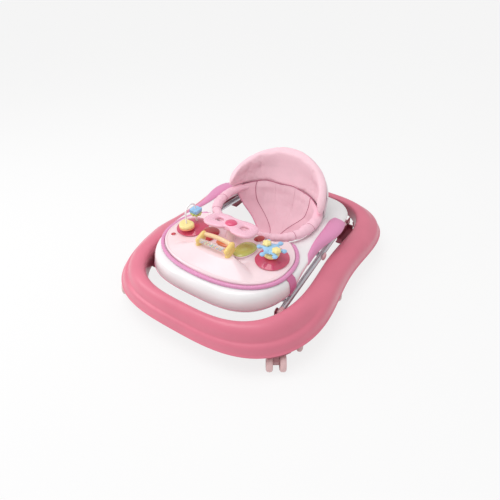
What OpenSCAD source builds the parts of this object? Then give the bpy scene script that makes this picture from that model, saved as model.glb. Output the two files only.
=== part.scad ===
// Baby walker: a wide moulded ring on twin-wheel casters, a scissor frame of
// bent steel tube, and a lifting tray with a toy panel and a padded bucket seat.
// The front is -Y, the seat back is at +Y, and the floor is z = 0.

/* [Base ring] */
// Length of the ring over its lip
ring_l = 796; // [740:2:860]
// Width of the ring over its lip
ring_w = 630; // [600:2:680]
// Height of the lip's lower edge above the floor
lip_z = 58; // [56:1:64]
// Rise of the crown above the lip at the front
crown_front = 66; // [58:1:72]
// Rise of the crown above the lip at the sides
crown_side = 50; // [46:1:54]
// Rise of the crown above the lip at the rear
crown_rear = 44; // [40:1:50]
// Width of the ring's section at the front
band_front = 52; // [48:1:60]
// Width of the ring's section at the sides
band_side = 84; // [80:1:88]
// Width of the ring's section at the rear
band_rear = 46; // [42:1:56]
// Wall of the moulded ring
ring_wall = 3; // [2.4:0.2:3.6]
// How far the sides draw in at the waist, as a share of the width
waist = 0.10; // [0.06:0.01:0.12]

/* [Casters] */
// Diameter of each caster wheel
wheel_d = 46; // [42:1:48]
// Width of each caster wheel
wheel_w = 16; // [14:1:18]
// Distance between the middles of the two wheels of a caster
wheel_gap = 33; // [32:1:36]
// Distance of the axle behind the swivel
caster_trail = 15; // [12:1:18]
// Diameter of the swivel stem
stem_d = 8; // [7:0.5:10]
// Diameter of the wheel axle
axle_d = 5; // [4:0.5:6]

/* [Folding frame] */
// Outer diameter of the frame tubes
tube_d = 16; // [14:1:17]
// Wall of the frame tubes
tube_wall = 1.2; // [1:0.1:1.6]
// Distance of each outer leg from the middle plane
leg_x = 207; // [205:1:208]
// Distance of each inner leg from the middle plane
inner_x = 186; // [184:1:187]
// Length of a leg from its lower pivot to the middle pivot
leg_low = 238; // [230:1:244]
// Length of a leg from the middle pivot to its upper pivot
leg_high = 160; // [154:1:166]
// Slope of the legs when the frame is folded flat
fold_angle = 6; // [5.5:0.1:6.5]
// How far the legs turn from folded to the highest setting
lift_angle = 27; // [20:1:28]
// Place of the lower front pivot along the ring
pivot_y = -222; // [-226:1:-218]
// Height of the lower pivots above the floor
pivot_z = 86; // [84:1:88]
// Diameter of the hinge pins
pin_d = 8; // [7:0.5:9]

/* [Tray] */
// Half width of the tray shell
tray_a = 219; // [214:1:222]
// Length of the tray shell
tray_l = 578; // [560:2:590]
// Place of the tray shell's middle along the ring
tray_y = -27; // [-30:1:-24]
// Height of the flat deck above the floor, folded
deck_z = 162; // [160:1:166]
// Height of the nose's lower edge above the floor, folded
nose_z = 104; // [102:1:108]
// Wall of the tray shell
tray_wall = 3; // [2.4:0.2:3.4]
// Half width of the seat opening
seat_a = 156; // [150:1:158]
// Half length of the seat opening
seat_b = 122; // [116:1:124]
// Place of the seat opening's middle along the ring
seat_y = 54; // [50:1:58]

/* [Toy panel] */
// Half width of the toy panel's surrounding band
panel_a = 200; // [194:1:204]
// Half length of the band
panel_b = 143; // [138:1:145]
// Place of the band's middle along the ring
panel_y = -150; // [-152:1:-148]
// Width of the band seen from above
band_w = 11; // [9:1:13]
// Height of the panel's flat plate above the deck
plate_h = 9; // [8:1:11]
// Rise of the console in the middle of the panel
console_h = 12; // [10:1:14]
// Half width of the steering wheel's two grips together
wheel_span = 68; // [64:1:72]
// Height of the steering wheel above the console
column_h = 38; // [34:1:42]

/* [Seat] */
// Radius of the padded roll round the seat opening
roll_r = 11; // [9:0.5:12]
// Height of the back pad above the roll
back_h = 120; // [100:2:140]
// Thickness of the back pad
back_t = 24; // [20:1:28]
// Depth of the seat sling below the deck
sling_d = 136; // [120:2:140]

/* [Hidden] */
$fn = 48;

gap = 0.3;            // clearance between pieces that seat on curved faces
run = 0.05;           // radial running clearance of pins, stems and axles
stations = 90;        // sections round the ring and the tray
foot_w = 8;           // width of the ring's flat feet, on both edges

// Outlines seen from above: superellipses that draw in at the waist
n_front = 3.14;
n_rear = 4;
waist_y = 40;
waist_len = 202;

function spow(v, e) = pow(abs(v), e);
function blend(a, b, k) = a + (b - a) * k;
function ease(v) = let(k = min(1, max(0, v))) k * k * (3 - 2 * k);
function oval(f, a, b, n) = let(r = pow(spow(cos(f) / a, n) + spow(sin(f) / b, n), -1 / n))
    [r * cos(f), r * sin(f)];
function ring_n(f) = sin(f) < 0 ? n_front : n_rear;
function waisted(p, k, y0, len) = [p.x * (1 - k * exp(-pow((p.y - y0) / len, 2))), p.y];
function half_share(y, n) = pow(1 - pow(abs(y) / (ring_l / 2), n), 1 / n)
    * (1 - waist * exp(-pow((y - waist_y) / waist_len, 2)));
ring_a = ring_w / 2 / max([for (y = [-ring_l / 2:4:ring_l / 2])
    half_share(y, y < 0 ? n_front : n_rear)]);
function lip_at(f) = waisted(oval(f, ring_a, ring_l / 2, ring_n(f)), waist, waist_y, waist_len);
function rim_at(f) = waisted(oval(f, ring_a - band_side,
    ring_l / 2 - (sin(f) < 0 ? band_front : band_rear), ring_n(f)), waist, waist_y, waist_len);

// Sections of the ring: share of the band's width from the lip, share of the crown's rise
front_sec = [[0, 0], [0, .07], [.06, .09], [.1, .22], [.14, .36], [.22, .44], [.31, .46],
    [.34, .6], [.42, .82], [.58, .96], [.74, 1], [.9, .95], [1, .84], [1.01, .6], [1.02, 0]];
side_sec = [[0, 0], [0, .08], [.04, .1], [.06, .34], [.09, .55], [.15, .72], [.24, .84],
    [.34, .91], [.46, .96], [.62, .99], [.78, 1], [.91, .97], [1, .88], [1.01, .6], [1.02, 0]];
rear_sec = [[0, 0], [0, .09], [.06, .12], [.09, .35], [.14, .56], [.24, .7], [.34, .76],
    [.39, .84], [.48, .95], [.6, 1], [.75, 1], [.9, .97], [1, .88], [1.02, .6], [1.04, 0]];
inner_of = [13, 12, 10, 8, 6, 4, 3];   // points of the section that the underside follows
tier_from = 298;      // the raised tier starts this far behind the ring's front
tier_run = 170;
function tier(y) = ease((tier_from - ring_l / 2 - y) / tier_run);
function stern(y) = ease((y - 120) / 150);
function crown_at(y) = blend(blend(crown_side, crown_front, ease((-20 - y) / 300)),
    crown_rear, stern(y));
function sec_at(y, i) = blend(blend(side_sec[i], front_sec[i], tier(y)), rear_sec[i], stern(y));
function on_ring(f, s) = let(o = lip_at(f), r = rim_at(f))
    [blend(o.x, r.x, s.x), blend(o.y, r.y, s.x), lip_z + s.y * crown_at(o.y)];
// A point of the underside, one wall inside the point of the outer face
function under(f, i) = let(y = lip_at(f).y, a = sec_at(y, i - 1), b = sec_at(y, i + 1),
    w = norm(rim_at(f) - lip_at(f)), h = crown_at(y),
    d = [(b.x - a.x) * w, (b.y - a.y) * h], n = [d.y, -d.x] / norm(d))
    on_ring(f, sec_at(y, i) + ring_wall * [n.x / w, n.y / h]);
function ring_section(f) = let(y = lip_at(f).y, w = norm(rim_at(f) - lip_at(f)))
    concat([for (i = [0:14]) on_ring(f, sec_at(y, i))],
        [on_ring(f, [sec_at(y, 14).x - foot_w / w, 0]), on_ring(f, [sec_at(y, 14).x - foot_w / w, .07]),
         on_ring(f, [sec_at(y, 14).x - ring_wall / w, .1])],
        [for (i = inner_of) under(f, i)],
        [on_ring(f, [foot_w / w + .06, .1]), on_ring(f, [foot_w / w + .06, 0])]);

// Skin of a row of closed sections; looped joins the last section to the first
module skin(rows, looped = true) {
    m = len(rows[0]);
    n = len(rows);
    sides = [for (i = [0:n - (looped ? 1 : 2)], j = [0:m - 1])
        let(a = i * m + j, b = i * m + (j + 1) % m,
            c = ((i + 1) % n) * m + (j + 1) % m, d = ((i + 1) % n) * m + j)
        each [[a, b, c], [a, c, d]]];
    ends = looped ? [] : [[for (j = [m - 1:-1:0]) j], [for (j = [0:m - 1]) (n - 1) * m + j]];
    polyhedron([for (r = rows) each r], concat(sides, ends), convexity = 8);
}

// A skin of thin rows, each out along one side and back along the other, with its ends closed pair by pair
module strip_skin(rows) {
    m = len(rows[0]);
    last = (len(rows) - 1) * m;
    sides = [for (i = [0:len(rows) - 2], j = [0:m - 1])
        let(a = i * m + j, b = i * m + (j + 1) % m, c = b + m, d = a + m)
        each [[a, b, c], [a, c, d]]];
    first_end = [for (j = [0:m / 2 - 2]) each [[m - 1 - j, j + 1, j], [m - 1 - j, m - 2 - j, j + 1]]];
    last_end = [for (t = first_end) [last + t[2], last + t[1], last + t[0]]];
    polyhedron([for (r = rows) each r], concat(sides, first_end, last_end), convexity = 8);
}

module base_ring() {
    color([0.92, 0.53, 0.61])
    skin([for (i = [0:stations - 1]) ring_section(i * 360 / stations)]);
}

// ---------- Casters and their sockets ----------
plate_t = 3;
caster_in = [[70, 94], [53, 388], [81, 86]];   // inside the ring's lip: from the side, from the front or rear
front_caster = [ring_w / 2 - caster_in[0].x, caster_in[0].y - ring_l / 2];
side_caster = [ring_w / 2 - caster_in[1].x, caster_in[1].y - ring_l / 2];
rear_caster = [ring_w / 2 - caster_in[2].x, ring_l / 2 - caster_in[2].y];
caster_at = [for (c = [front_caster, side_caster, rear_caster], s = [1, -1]) [s * c.x, c.y]];
caster_turn = -147;   // way the forks trail, counted from the rear
swivel_z = lip_z - plate_t;               // underside of the sockets
socket_h = 20;        // depth of the boss that holds the stem
function flat(p) = [p.x, p.y];

rib_l = 46;
rib_t = 2.4;
rib_h = 15;
// The ring's band seen from above, drawn in from the lip and from the inner edge
module band_region(from_lip, from_rim) {
    difference() {
        polygon([for (i = [0:stations - 1]) flat(on_ring(i * 360 / stations, [from_lip / band_side, 0]))]);
        polygon([for (i = [0:stations - 1]) let(f = i * 360 / stations)
            flat(on_ring(f, [sec_at(lip_at(f).y, 14).x - from_rim / band_rear, 0]))]);
    }
}

module caster_sockets() {
    color([0.75, 0.42, 0.5])
    for (c = caster_at)
        difference() {
            union() {
                translate([0, 0, swivel_z]) linear_extrude(plate_t)
                    intersection() {
                        band_region(2, 0);
                        translate(c) square(70, center = true);
                    }
                translate([c.x, c.y, swivel_z]) cylinder(d = stem_d + 14, h = plate_t + socket_h);
                intersection() {
                    for (a = [0, 90])
                        translate([c.x, c.y, lip_z + rib_h / 2]) rotate(a + 45) cube([rib_l, rib_t, rib_h], center = true);
                    translate([0, 0, lip_z]) linear_extrude(rib_h) band_region(15, 6);
                }
            }
            translate([c.x, c.y, swivel_z - 1]) cylinder(d = stem_d + 2 * run, h = socket_h - 2);
        }
}

housing_t = wheel_gap - wheel_w - 2;      // housing between the two wheels
module caster_fork(k) {
    c = caster_at[k - 1];
    r = wheel_d / 2;
    top = swivel_z - 1;
    color([0.69, 0.45, 0.47])
    translate([c.x, c.y, 0]) rotate(caster_turn)
    difference() {
        union() {
            translate([-housing_t / 2, 0, 0]) rotate([90, 0, 90]) linear_extrude(housing_t)
                union() {
                    translate([caster_trail, r]) circle(d = axle_d + 8);
                    polygon([[caster_trail - 6, r - 2], [caster_trail + 6, r - 2], [caster_trail + 9, r + 12],
                        [stem_d, top - 4], [-stem_d, top - 4], [-stem_d + 1, top - 11]]);
                }
            translate([0, 0, top - 6]) cylinder(d = stem_d + 10, h = 6);
            translate([0, 0, top - 6]) cylinder(d = stem_d, h = socket_h - 2);
        }
        translate([-housing_t, caster_trail, r]) rotate([0, 90, 0])
            cylinder(d = axle_d + 2 * run, h = 2 * housing_t);
    }
}

module wheel_profile() {
    r = wheel_d / 2;
    w = wheel_w / 2;
    polygon([[0, -w + 3], [5, -w + 3], [6, -w + 5], [r - 9, -w + 5], [r - 7, -w + 1], [r - 4, -w],
        [r - 1.4, -w + 2], [r - 0.3, -w + 4.5], [r, 0], [r - 0.3, w - 4.5], [r - 1.4, w - 2],
        [r - 4, w], [r - 7, w - 1], [r - 9, w - 3], [6, w - 3], [5, w - 1], [0, w - 1]]);
}

module caster_wheels(k) {
    c = caster_at[k - 1];
    color([0.93, 0.77, 0.77])
    translate([c.x, c.y, 0]) rotate(caster_turn) translate([0, caster_trail, wheel_d / 2])
    rotate([0, 90, 0]) {
        for (s = [-1, 1])
            translate([0, 0, s * wheel_gap / 2]) mirror([0, 0, s > 0 ? 0 : 1]) rotate_extrude() wheel_profile();
        translate([0, 0, -wheel_gap / 2]) cylinder(d = axle_d, h = wheel_gap);
    }
}

// Rubber pads under the lip that stop the ring when a wheel drops over an edge
pad_at = [-42, -138, 42, 138];
module brake_pads() {
    color([0.9, 0.8, 0.8])
    for (f = pad_at)
        let(p = on_ring(f, [11 / band_side, 0]))
            translate([p.x, p.y, lip_z - 22]) {
                cylinder(d1 = 14, d2 = 17, h = 6);
                translate([0, 0, 6]) cylinder(d = 17, h = 16);
            }
}

// ---------- Folding frame ----------
pin_r = pin_d / 2;
tube_r = tube_d / 2;
mid = [pivot_y + leg_low * cos(fold_angle), pivot_z + leg_low * sin(fold_angle)];
rear_y = pivot_y + 2 * leg_low * cos(fold_angle);
rear_raised = pivot_y + 2 * leg_low * cos(fold_angle + lift_angle);
hinge_y = mid.x - leg_high * cos(fold_angle);
high_y = mid.x + leg_high * cos(fold_angle);
high_raised = hinge_y + 2 * leg_high * cos(fold_angle + lift_angle);
high_z = mid.y + leg_high * sin(fold_angle);
leg_l = leg_low + leg_high;
ear_t = 3;
ear_gap = 1;          // side clearance between a tube and the ear beside it
slot_r = pin_r + 0.3;
rail_t = 3;           // slotted rail on the base, outside each inner leg
rail_x = inner_x + tube_r + ear_gap + rail_t;
cap_x = rail_x + rail_t / 2 + gap;
slide_t = 2.6;        // slotted slide on the tray, between the legs
slide_x = inner_x + tube_r + slide_t - 0.1;
rack_t = 4.6;         // notched bar beside the slide
rack_x = slide_x - slide_t / 2 - gap - rack_t / 2;
pin_out = leg_x - tube_r + 1;
pin_in = rack_x - rack_t / 2 - gap;

// Places children at a leg's lower pivot with +Z along the leg: outer legs rise to the rear
module outer_leg(s) {
    translate([s * leg_x, pivot_y, pivot_z]) rotate([-(90 - fold_angle), 0, 0]) children();
}
module inner_leg(s) {
    translate([s * inner_x, rear_y, pivot_z]) rotate([90 - fold_angle, 0, 0]) children();
}
module along_x(h, r) {
    rotate([0, 90, 0]) cylinder(r = r, h = h, center = true);
}
module tube(hole_r) {
    difference() {
        translate([0, 0, 14]) cylinder(r = tube_r, h = leg_l - 28);
        translate([0, 0, 13]) cylinder(r = tube_r - tube_wall, h = leg_l - 26);
        translate([0, 0, leg_low]) along_x(3 * tube_r, hole_r);
    }
}
module outer_tube(s) {
    color([0.93, 0.93, 0.95]) outer_leg(s) tube(pin_r + 0.02);
}
module inner_tube(s) {
    color([0.93, 0.93, 0.95]) inner_leg(s) tube(pin_r + run);
}
// Plug in a tube's end: a stub inside the tube, a collar and a rounded knuckle
module plug_body(at, up) {
    translate([0, 0, at]) mirror([0, 0, up ? 0 : 1]) {
        translate([0, 0, 12]) cylinder(r = tube_r - tube_wall, h = 18);
        cylinder(r = tube_r, h = 14);
        sphere(r = tube_r + 0.5);
    }
}
module outer_cross_tube() {
    color([0.93, 0.93, 0.95])
    difference() {
        translate([0, pivot_y + 40 * cos(fold_angle), pivot_z + 40 * sin(fold_angle)])
            difference() {
                along_x(2 * leg_x, tube_r - 2);
                along_x(2 * leg_x + 2, tube_r - 2 - tube_wall);
            }
        for (s = [-1, 1]) outer_leg(s) cylinder(r = tube_r + run, h = leg_l);
    }
}
module outer_tube_plugs() {
    color([0.96, 0.77, 0.79])
    for (s = [-1, 1]) {
        outer_leg(s) difference() {
            plug_body(0, true);
            along_x(4 * tube_r, pin_r + run);
        }
        outer_leg(s) plug_body(leg_l, false);
        translate([s * (pin_out + pin_in) / 2, high_y, high_z]) along_x(pin_out - pin_in, pin_r);
        translate([s * (pin_in - 1.5), high_y, high_z]) along_x(3, pin_r + 2);
    }
}
module pivot_pins() {
    from = inner_x - tube_r - gap;
    to = leg_x + tube_r;
    color([0.7, 0.7, 0.72])
    for (s = [-1, 1]) {
        translate([s * (from + to) / 2, mid.x, mid.y]) along_x(to - from, pin_r);
        translate([s * (from - 1.5), mid.x, mid.y]) along_x(3, pin_r + 2.5);
        translate([s * (leg_x + inner_x) / 2, mid.x, mid.y])
            along_x(leg_x - inner_x - 2 * tube_r - 2 * gap, tube_r - 0.5);
    }
}
module pivot_covers() {
    color([0.96, 0.77, 0.8])
    for (s = [-1, 1])
        translate([s * (leg_x + tube_r), mid.x, mid.y])
            rotate([0, s * 90, 0]) {
                cylinder(r = tube_r + 4, h = 3);
                translate([0, 0, 3]) cylinder(r1 = tube_r + 4, r2 = tube_r + 0.5, h = 2.4);
            }
}
module inner_cross_tube() {
    color([0.93, 0.93, 0.95])
    difference() {
        translate([0, rear_y - 26 * cos(fold_angle), pivot_z + 26 * sin(fold_angle)])
            difference() {
                along_x(2 * inner_x, tube_r - 2);
                along_x(2 * inner_x + 2, tube_r - 2 - tube_wall);
            }
        for (s = [-1, 1]) inner_leg(s) cylinder(r = tube_r + run, h = leg_l);
    }
}
module inner_tube_caps() {
    color([0.96, 0.77, 0.79])
    for (s = [-1, 1]) {
        inner_leg(s) difference() {
            plug_body(leg_l, false);
            translate([0, 0, leg_l]) along_x(4 * tube_r, pin_r + run);
        }
        inner_leg(s) plug_body(0, true);
        translate([s * (inner_x + tube_r - 1 + cap_x) / 2, rear_y, pivot_z])
            along_x(cap_x - inner_x - tube_r + 1, pin_r);
        translate([s * (cap_x + 1.5), rear_y, pivot_z]) along_x(3, pin_r + 2);
    }
}

// A plate from z = from to a pin at z = to, rounded round the pin
module ear(t, half, from, to) {
    rotate([90, 0, 90]) linear_extrude(t, center = true)
        union() {
            translate([0, to]) circle(r = half);
            translate([-half, min(from, to)]) square([2 * half, abs(to - from)]);
        }
}
module leg_brackets() {
    color([0.86, 0.5, 0.58])
    for (s = [-1, 1])
        translate([0, pivot_y, 0]) {
            for (side = [-1, 1])
                translate([s * (leg_x + side * (tube_r + ear_gap + ear_t / 2)), 0, 0])
                    ear(ear_t, 9, lip_z, pivot_z);
            translate([s * leg_x, 0, pivot_z]) along_x(2 * (tube_r + ear_gap + ear_t), pin_r);
            translate([s * (leg_x + 10) - 25, -20, swivel_z]) cube([50, 40, plate_t]);
        }
}
module slot(y1, y2, z) {
    translate([y1, z]) circle(r = slot_r);
    translate([y2, z]) circle(r = slot_r);
    translate([y1, z - slot_r]) square([y2 - y1, 2 * slot_r]);
}
module leg_rails() {
    color([0.86, 0.5, 0.58])
    for (s = [-1, 1]) {
        translate([s * rail_x, 0, 0]) rotate([90, 0, 90]) linear_extrude(rail_t, center = true)
            difference() {
                translate([rear_raised - 10, lip_z]) square([rear_y - rear_raised + 22, pivot_z - lip_z + 14]);
                slot(rear_raised, rear_y, pivot_z);
            }
        translate([s * (rail_x + 17) - 21, rear_raised - 10, swivel_z])
            cube([42, rear_y - rear_raised + 22, plate_t]);
        for (y = [rear_raised - 10, rear_y + 8])
            translate([s * (rail_x + 8) - 8, y, lip_z]) cube([16, 4, 14]);
    }
}

// ---------- Tray ----------
tray_front_n = 3.3;
tray_rear_n = 6;
deck_under = deck_z - tray_wall;
function tray_at(f) = let(p = oval(f, tray_a, tray_l / 2, sin(f) < 0 ? tray_front_n : tray_rear_n))
    waisted([p.x, p.y + tray_y], 0.05, -20, 80);
// Angle round the tray at which its side passes the given y
function tray_f(y) = let(d = y - tray_y, n = d < 0 ? tray_front_n : tray_rear_n)
    atan2(d, tray_a * pow(1 - pow(abs(d) / (tray_l / 2), n), 1 / n));
function seat_at(f, out = 0) = let(p = oval(f, seat_a + out, seat_b + out, 2.5)) [p.x, p.y + seat_y];
// Height of the shell's hem: low at the nose and the rear, arched over the legs at the sides
function hem(y) = nose_z + 42 * ease((y + 190) / 80) - 34 * ease((y - 190) / 50);
// The shell's face from the hem over the crown to the deck: inset in mm, share of the height
tray_sec = [[9, 0], [3, .07], [0, .22], [1, .5], [4, .72], [9, .87], [17, .96], [27, 1], [40, 1]];
function on_tray(f, inset, z) = let(o = tray_at(f), r = seat_at(f), k = inset / norm(r - o))
    [blend(o.x, r.x, k), blend(o.y, r.y, k), z];
function tray_pt(f, i, out = 0) = let(h = hem(tray_at(f).y), t = deck_z - h,
    a = tray_sec[max(0, i - 1)], b = tray_sec[min(8, i + 1)],
    d = [b.x - a.x, (b.y - a.y) * t], n = [-d.y, d.x] / norm(d))
    on_tray(f, tray_sec[i].x + n.x * out, h + tray_sec[i].y * t + n.y * out);
lip_drop = 12;
function tray_section(f) = let(w = norm(seat_at(f) - tray_at(f)))
    concat([for (i = [0:7]) tray_pt(f, i)],
        [on_tray(f, w, deck_z), on_tray(f, w, deck_z - lip_drop),
         on_tray(f, w - tray_wall, deck_z - lip_drop), on_tray(f, w - tray_wall, deck_under),
         on_tray(f, 30, deck_under)],
        [for (i = [6, 4, 2, 1]) tray_pt(f, i, -tray_wall)],
        [on_tray(f, tray_sec[0].x + tray_wall, hem(tray_at(f).y))]);

module tray_shell() {
    color([0.97, 0.96, 0.96])
    skin([for (i = [0:stations - 1]) tray_section(i * 360 / stations)]);
}

// Ears under the deck that hang the tray on the inner legs' front ends
module tray_hinges() {
    ear_x = tube_r + ear_gap + ear_t / 2;
    color([0.92, 0.92, 0.93])
    for (s = [-1, 1])
        translate([s * inner_x, hinge_y, 0]) {
            for (side = [-1, 1])
                translate([side * ear_x, 0, 0]) ear(ear_t, 10, deck_under - 4, high_z);
            translate([0, 0, high_z]) along_x(2 * ear_x + ear_t, pin_r);
            translate([-ear_x - ear_t / 2, -10, deck_under - 8]) cube([2 * ear_x + ear_t, 20, 4]);
            translate([-s * 12 - 10, -10, deck_under - 8]) cube([20, 20, 8]);
        }
}
// Slotted plates under the deck that guide the outer legs' rear ends
module tray_slides() {
    y1 = high_raised - 12;
    len = high_y - high_raised + 24;
    color([0.92, 0.92, 0.93])
    for (s = [-1, 1]) {
        translate([s * slide_x, 0, 0]) rotate([90, 0, 90]) linear_extrude(slide_t, center = true)
            difference() {
                translate([y1, high_z - 11]) square([len, deck_under - 4 - high_z + 11]);
                slot(high_raised, high_y, high_z);
            }
        translate([s * (slide_x + slide_t / 2 - 18) - 18, y1, deck_under - 7]) cube([36, len, 3]);
        translate([s * (slide_x + slide_t / 2 - 30) - 6, y1, deck_under - 7]) cube([12, len, 7]);
    }
}
// Notched bars joined behind the seat: they rise to hold the legs' pins at each height
rack_z = high_z - pin_r - 2.6;            // tips of the teeth, released
rack_lift = 6;
rack_past = 34;       // how far the bars run on behind the legs' pins
rack_back = high_y + rack_past;
notch_angles = [0, 11, 19, 27];
module height_rack() {
    y1 = high_raised - 8;
    color([0.86, 0.5, 0.58]) {
        for (s = [-1, 1])
            translate([s * rack_x, 0, 0]) rotate([90, 0, 90]) linear_extrude(rack_t, center = true)
                difference() {
                    translate([y1, rack_z - 10]) square([rack_back - y1, 10]);
                    for (a = notch_angles)
                        translate([hinge_y + 2 * leg_high * cos(fold_angle + a * lift_angle / 27), rack_z])
                            circle(r = pin_r + 0.8);
                }
        translate([-rack_x - rack_t / 2, rack_back - 8, rack_z - 10]) cube([2 * rack_x + rack_t, 8, 10]);
        translate([-32, rack_back, rack_z - 10]) cube([64, 16, 5]);
        translate([-32, rack_back + 12, rack_z - 16]) cube([64, 4, 6]);
    }
}

// Soft guards over the tray's edges where the elbows rest
pad_from = -88;
pad_to = 140;
pad_t = 6;
pad_rows = 14;
function pad_part(y) = min(1, (y - pad_from) / 50, (pad_to - y) / 36);
module armrest(s) {
    rows = [for (i = [0:pad_rows]) let(y = blend(pad_from, pad_to, ease(i / pad_rows)), f = tray_f(y),
            k = sqrt(max(0.06, pad_part(y))))
        concat([for (i = [2:7]) tray_pt(f, i, gap + 1.5 + (pad_t - 1.5) * k)],
            [on_tray(f, 27 + 14 * k, deck_z + gap + 1.5), on_tray(f, 27 + 14 * k, deck_z + gap)],
            [for (i = [7:-1:2]) tray_pt(f, i, gap)])];
    color([0.91, 0.6, 0.77])
        if (s > 0) skin(rows, false);
        else mirror([1, 0, 0]) skin(rows, false);
}

// ---------- Toy panel ----------
plate_z = deck_z + plate_h;               // top of the panel's flat plate
top_z = plate_z + console_h;              // top of the console
wedge_z = deck_z + 34;                    // top of the ridge that carries the handle
fit = 0.35;                               // side clearance of the buttons
module oval_face(a, b, n = 2, pts = 60) {
    polygon([for (i = [0:pts - 1]) oval(i * 360 / pts, a, b, n)]);
}
// Zone kept free for the seat's roll
module seat_zone() {
    translate([0, 0, deck_z - 1]) linear_extrude(60)
        polygon([for (i = [0:59]) seat_at(i * 6, 2 * roll_r - 4)]);
}
module panel_band() {
    color([0.91, 0.61, 0.77])
    difference() {
        translate([0, panel_y, deck_z]) linear_extrude(plate_h - 3)
            difference() {
                oval_face(panel_a, panel_b, 2.3, 90);
                oval_face(panel_a - band_w, panel_b - band_w, 2.3, 90);
            }
        seat_zone();
    }
}
// Straps of the band that hook over the tray's edge on each side
clip_half = 12.5;
clip_y = -168;
clip_t = 2.5;
clip_draw = 0.8;                          // how far a strap's sides draw in between its ends
// Angle round the tray at which point i of the shell's face passes the given y, found by halving
function face_f(y, i, lo = -80, hi = 0, n = 24) = let(f = (lo + hi) / 2)
    n == 0 ? f : tray_pt(f, i).y < y ? face_f(y, i, f, hi, n - 1) : face_f(y, i, lo, f, n - 1);
// A point of the shell's face cut at one y, moved off the face
function off_face(p, i, d) = let(v = p[i + 1] - p[i - 1], n = [v.z, -v.x] / norm([v.x, v.z]))
    [p[i].x + n.x * d, p[i].y, p[i].z + n.y * d];
function band_x(y) = panel_a * pow(1 - pow(abs(y - panel_y) / panel_b, 2.3), 1 / 2.3);
module side_clips() {
    rows = [for (k = [-1, -0.34, 0.34, 1])
        let(y = [for (i = [0:7]) clip_y + k * (clip_half - clip_draw * sin(i * 180 / 7))],
            p = [for (i = [0:7]) tray_pt(face_f(y[i], i), i)], end = band_x(y[7]) + gap)
            concat([for (i = [1:6]) off_face(p, i, gap + clip_t)],
                [[end, y[7], deck_z + gap + clip_t], [end, y[7], deck_z + gap]],
                [for (i = [6:-1:1]) off_face(p, i, gap)])];
    color([0.84, 0.47, 0.63]) {
        strip_skin(rows);
        mirror([1, 0, 0]) strip_skin(rows);
    }
}
light_spots = [[-54, -148, 19, 16], [-7, -169, 19, 12], [46, -159, 24, 13], [54, -103, 14, 11]];
power_spot = [-158, -196];
console_y = -140;
console_a = 86;
console_b = 62;
console_draw = [8, 7];    // how far the console's sides draw in
toy_n = 3;
module toy_panel() {
    color([0.99, 0.92, 0.93])
    difference() {
        union() {
            translate([0, panel_y, deck_z]) linear_extrude(plate_h)
                oval_face(panel_a - band_w - gap, panel_b - band_w - gap, 2.3, 90);
            hull() {
                translate([0, console_y, plate_z]) linear_extrude(1) oval_face(console_a, console_b, toy_n);
                translate([0, console_y, top_z - 1]) linear_extrude(1)
                    oval_face(console_a - console_draw.x, console_b - console_draw.y, toy_n);
            }
            hull() {
                translate([0, handle_y - 20, plate_z]) linear_extrude(0.5) oval_face(119, 50);
                translate([0, handle_y - 3, wedge_z - 2]) linear_extrude(2) oval_face(62, 17, 3);
            }
        }
        seat_zone();
        for (l = light_spots)
            translate([l.x, l.y, top_z - 7.5]) linear_extrude(30) oval_face(l[2] + fit, l[3] + fit, 2, 40);
        translate([power_spot.x, power_spot.y, plate_z - 6]) cylinder(r = 6 + fit, h = 10);
    }
}
module light_button(k) {
    l = light_spots[k];
    translate([l.x, l.y, top_z - 5]) {
        linear_extrude(7) oval_face(l[2], l[3], 2, 40);
        translate([0, 0, 7]) linear_extrude(1.2) oval_face(l[2] - 1.2, l[3] - 1.2, 2, 40);
        translate([0, 0, 8.2]) linear_extrude(0.8) oval_face(l[2] - 3, l[3] - 3, 2, 40);
    }
}
module light_red_left() { color([0.78, 0.24, 0.26]) light_button(0); }
module light_orange() { color([0.92, 0.55, 0.37]) light_button(1); }
module light_green() { color([0.8, 0.8, 0.45]) light_button(2); }
module light_red_right() { color([0.78, 0.24, 0.26]) light_button(3); }
module power_button() {
    color([0.8, 0.28, 0.32])
    translate([power_spot.x, power_spot.y, plate_z - 3.5]) {
        cylinder(r = 6, h = 5);
        translate([0, 0, 5]) cylinder(r1 = 6, r2 = 4.6, h = 1);
    }
}

dome_x = 132;
dome_y = -144;
dome_r = 44;
dome_h = 14;
dome_ball = (dome_r * dome_r + dome_h * dome_h) / (2 * dome_h);
function dome_top(d) = plate_z + dome_h - dome_ball + sqrt(dome_ball * dome_ball - d * d);
wire_r = 2.25;
arch_r = 22;
arch_top = 57;        // height of the arch's legs above the plate
post_r = 4;
module toy_domes() {
    color([0.84, 0.33, 0.45])
    for (s = [-1, 1])
        difference() {
            intersection() {
                translate([s * dome_x, dome_y, plate_z + dome_h - dome_ball]) sphere(r = dome_ball);
                translate([s * dome_x, dome_y, plate_z]) cylinder(r = dome_r + 1, h = dome_h + 1);
            }
            if (s < 0)
                for (side = [-1, 1])
                    translate([-dome_x, dome_y + side * arch_r, plate_z + 1])
                        cylinder(r = wire_r + 0.02, h = dome_h);
            else
                translate([dome_x, dome_y, plate_z + 1]) cylinder(r = post_r + 0.02, h = dome_h);
        }
}
knob_z = dome_top(arch_r - 14) + gap;
block_z = plate_z + 35;
module wire_arch() {
    color([0.97, 0.95, 0.96])
    translate([-dome_x, dome_y, 0]) {
        for (side = [-1, 1])
            translate([0, side * arch_r, plate_z + 1]) cylinder(r = wire_r, h = arch_top - 1);
        translate([0, 0, plate_z + arch_top]) rotate([90, 0, 90])
            rotate_extrude(angle = 180) translate([arch_r, 0]) circle(r = wire_r);
        translate([0, arch_r, block_z - 3]) cylinder(r = wire_r + 2, h = 2.7);
    }
}
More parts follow.
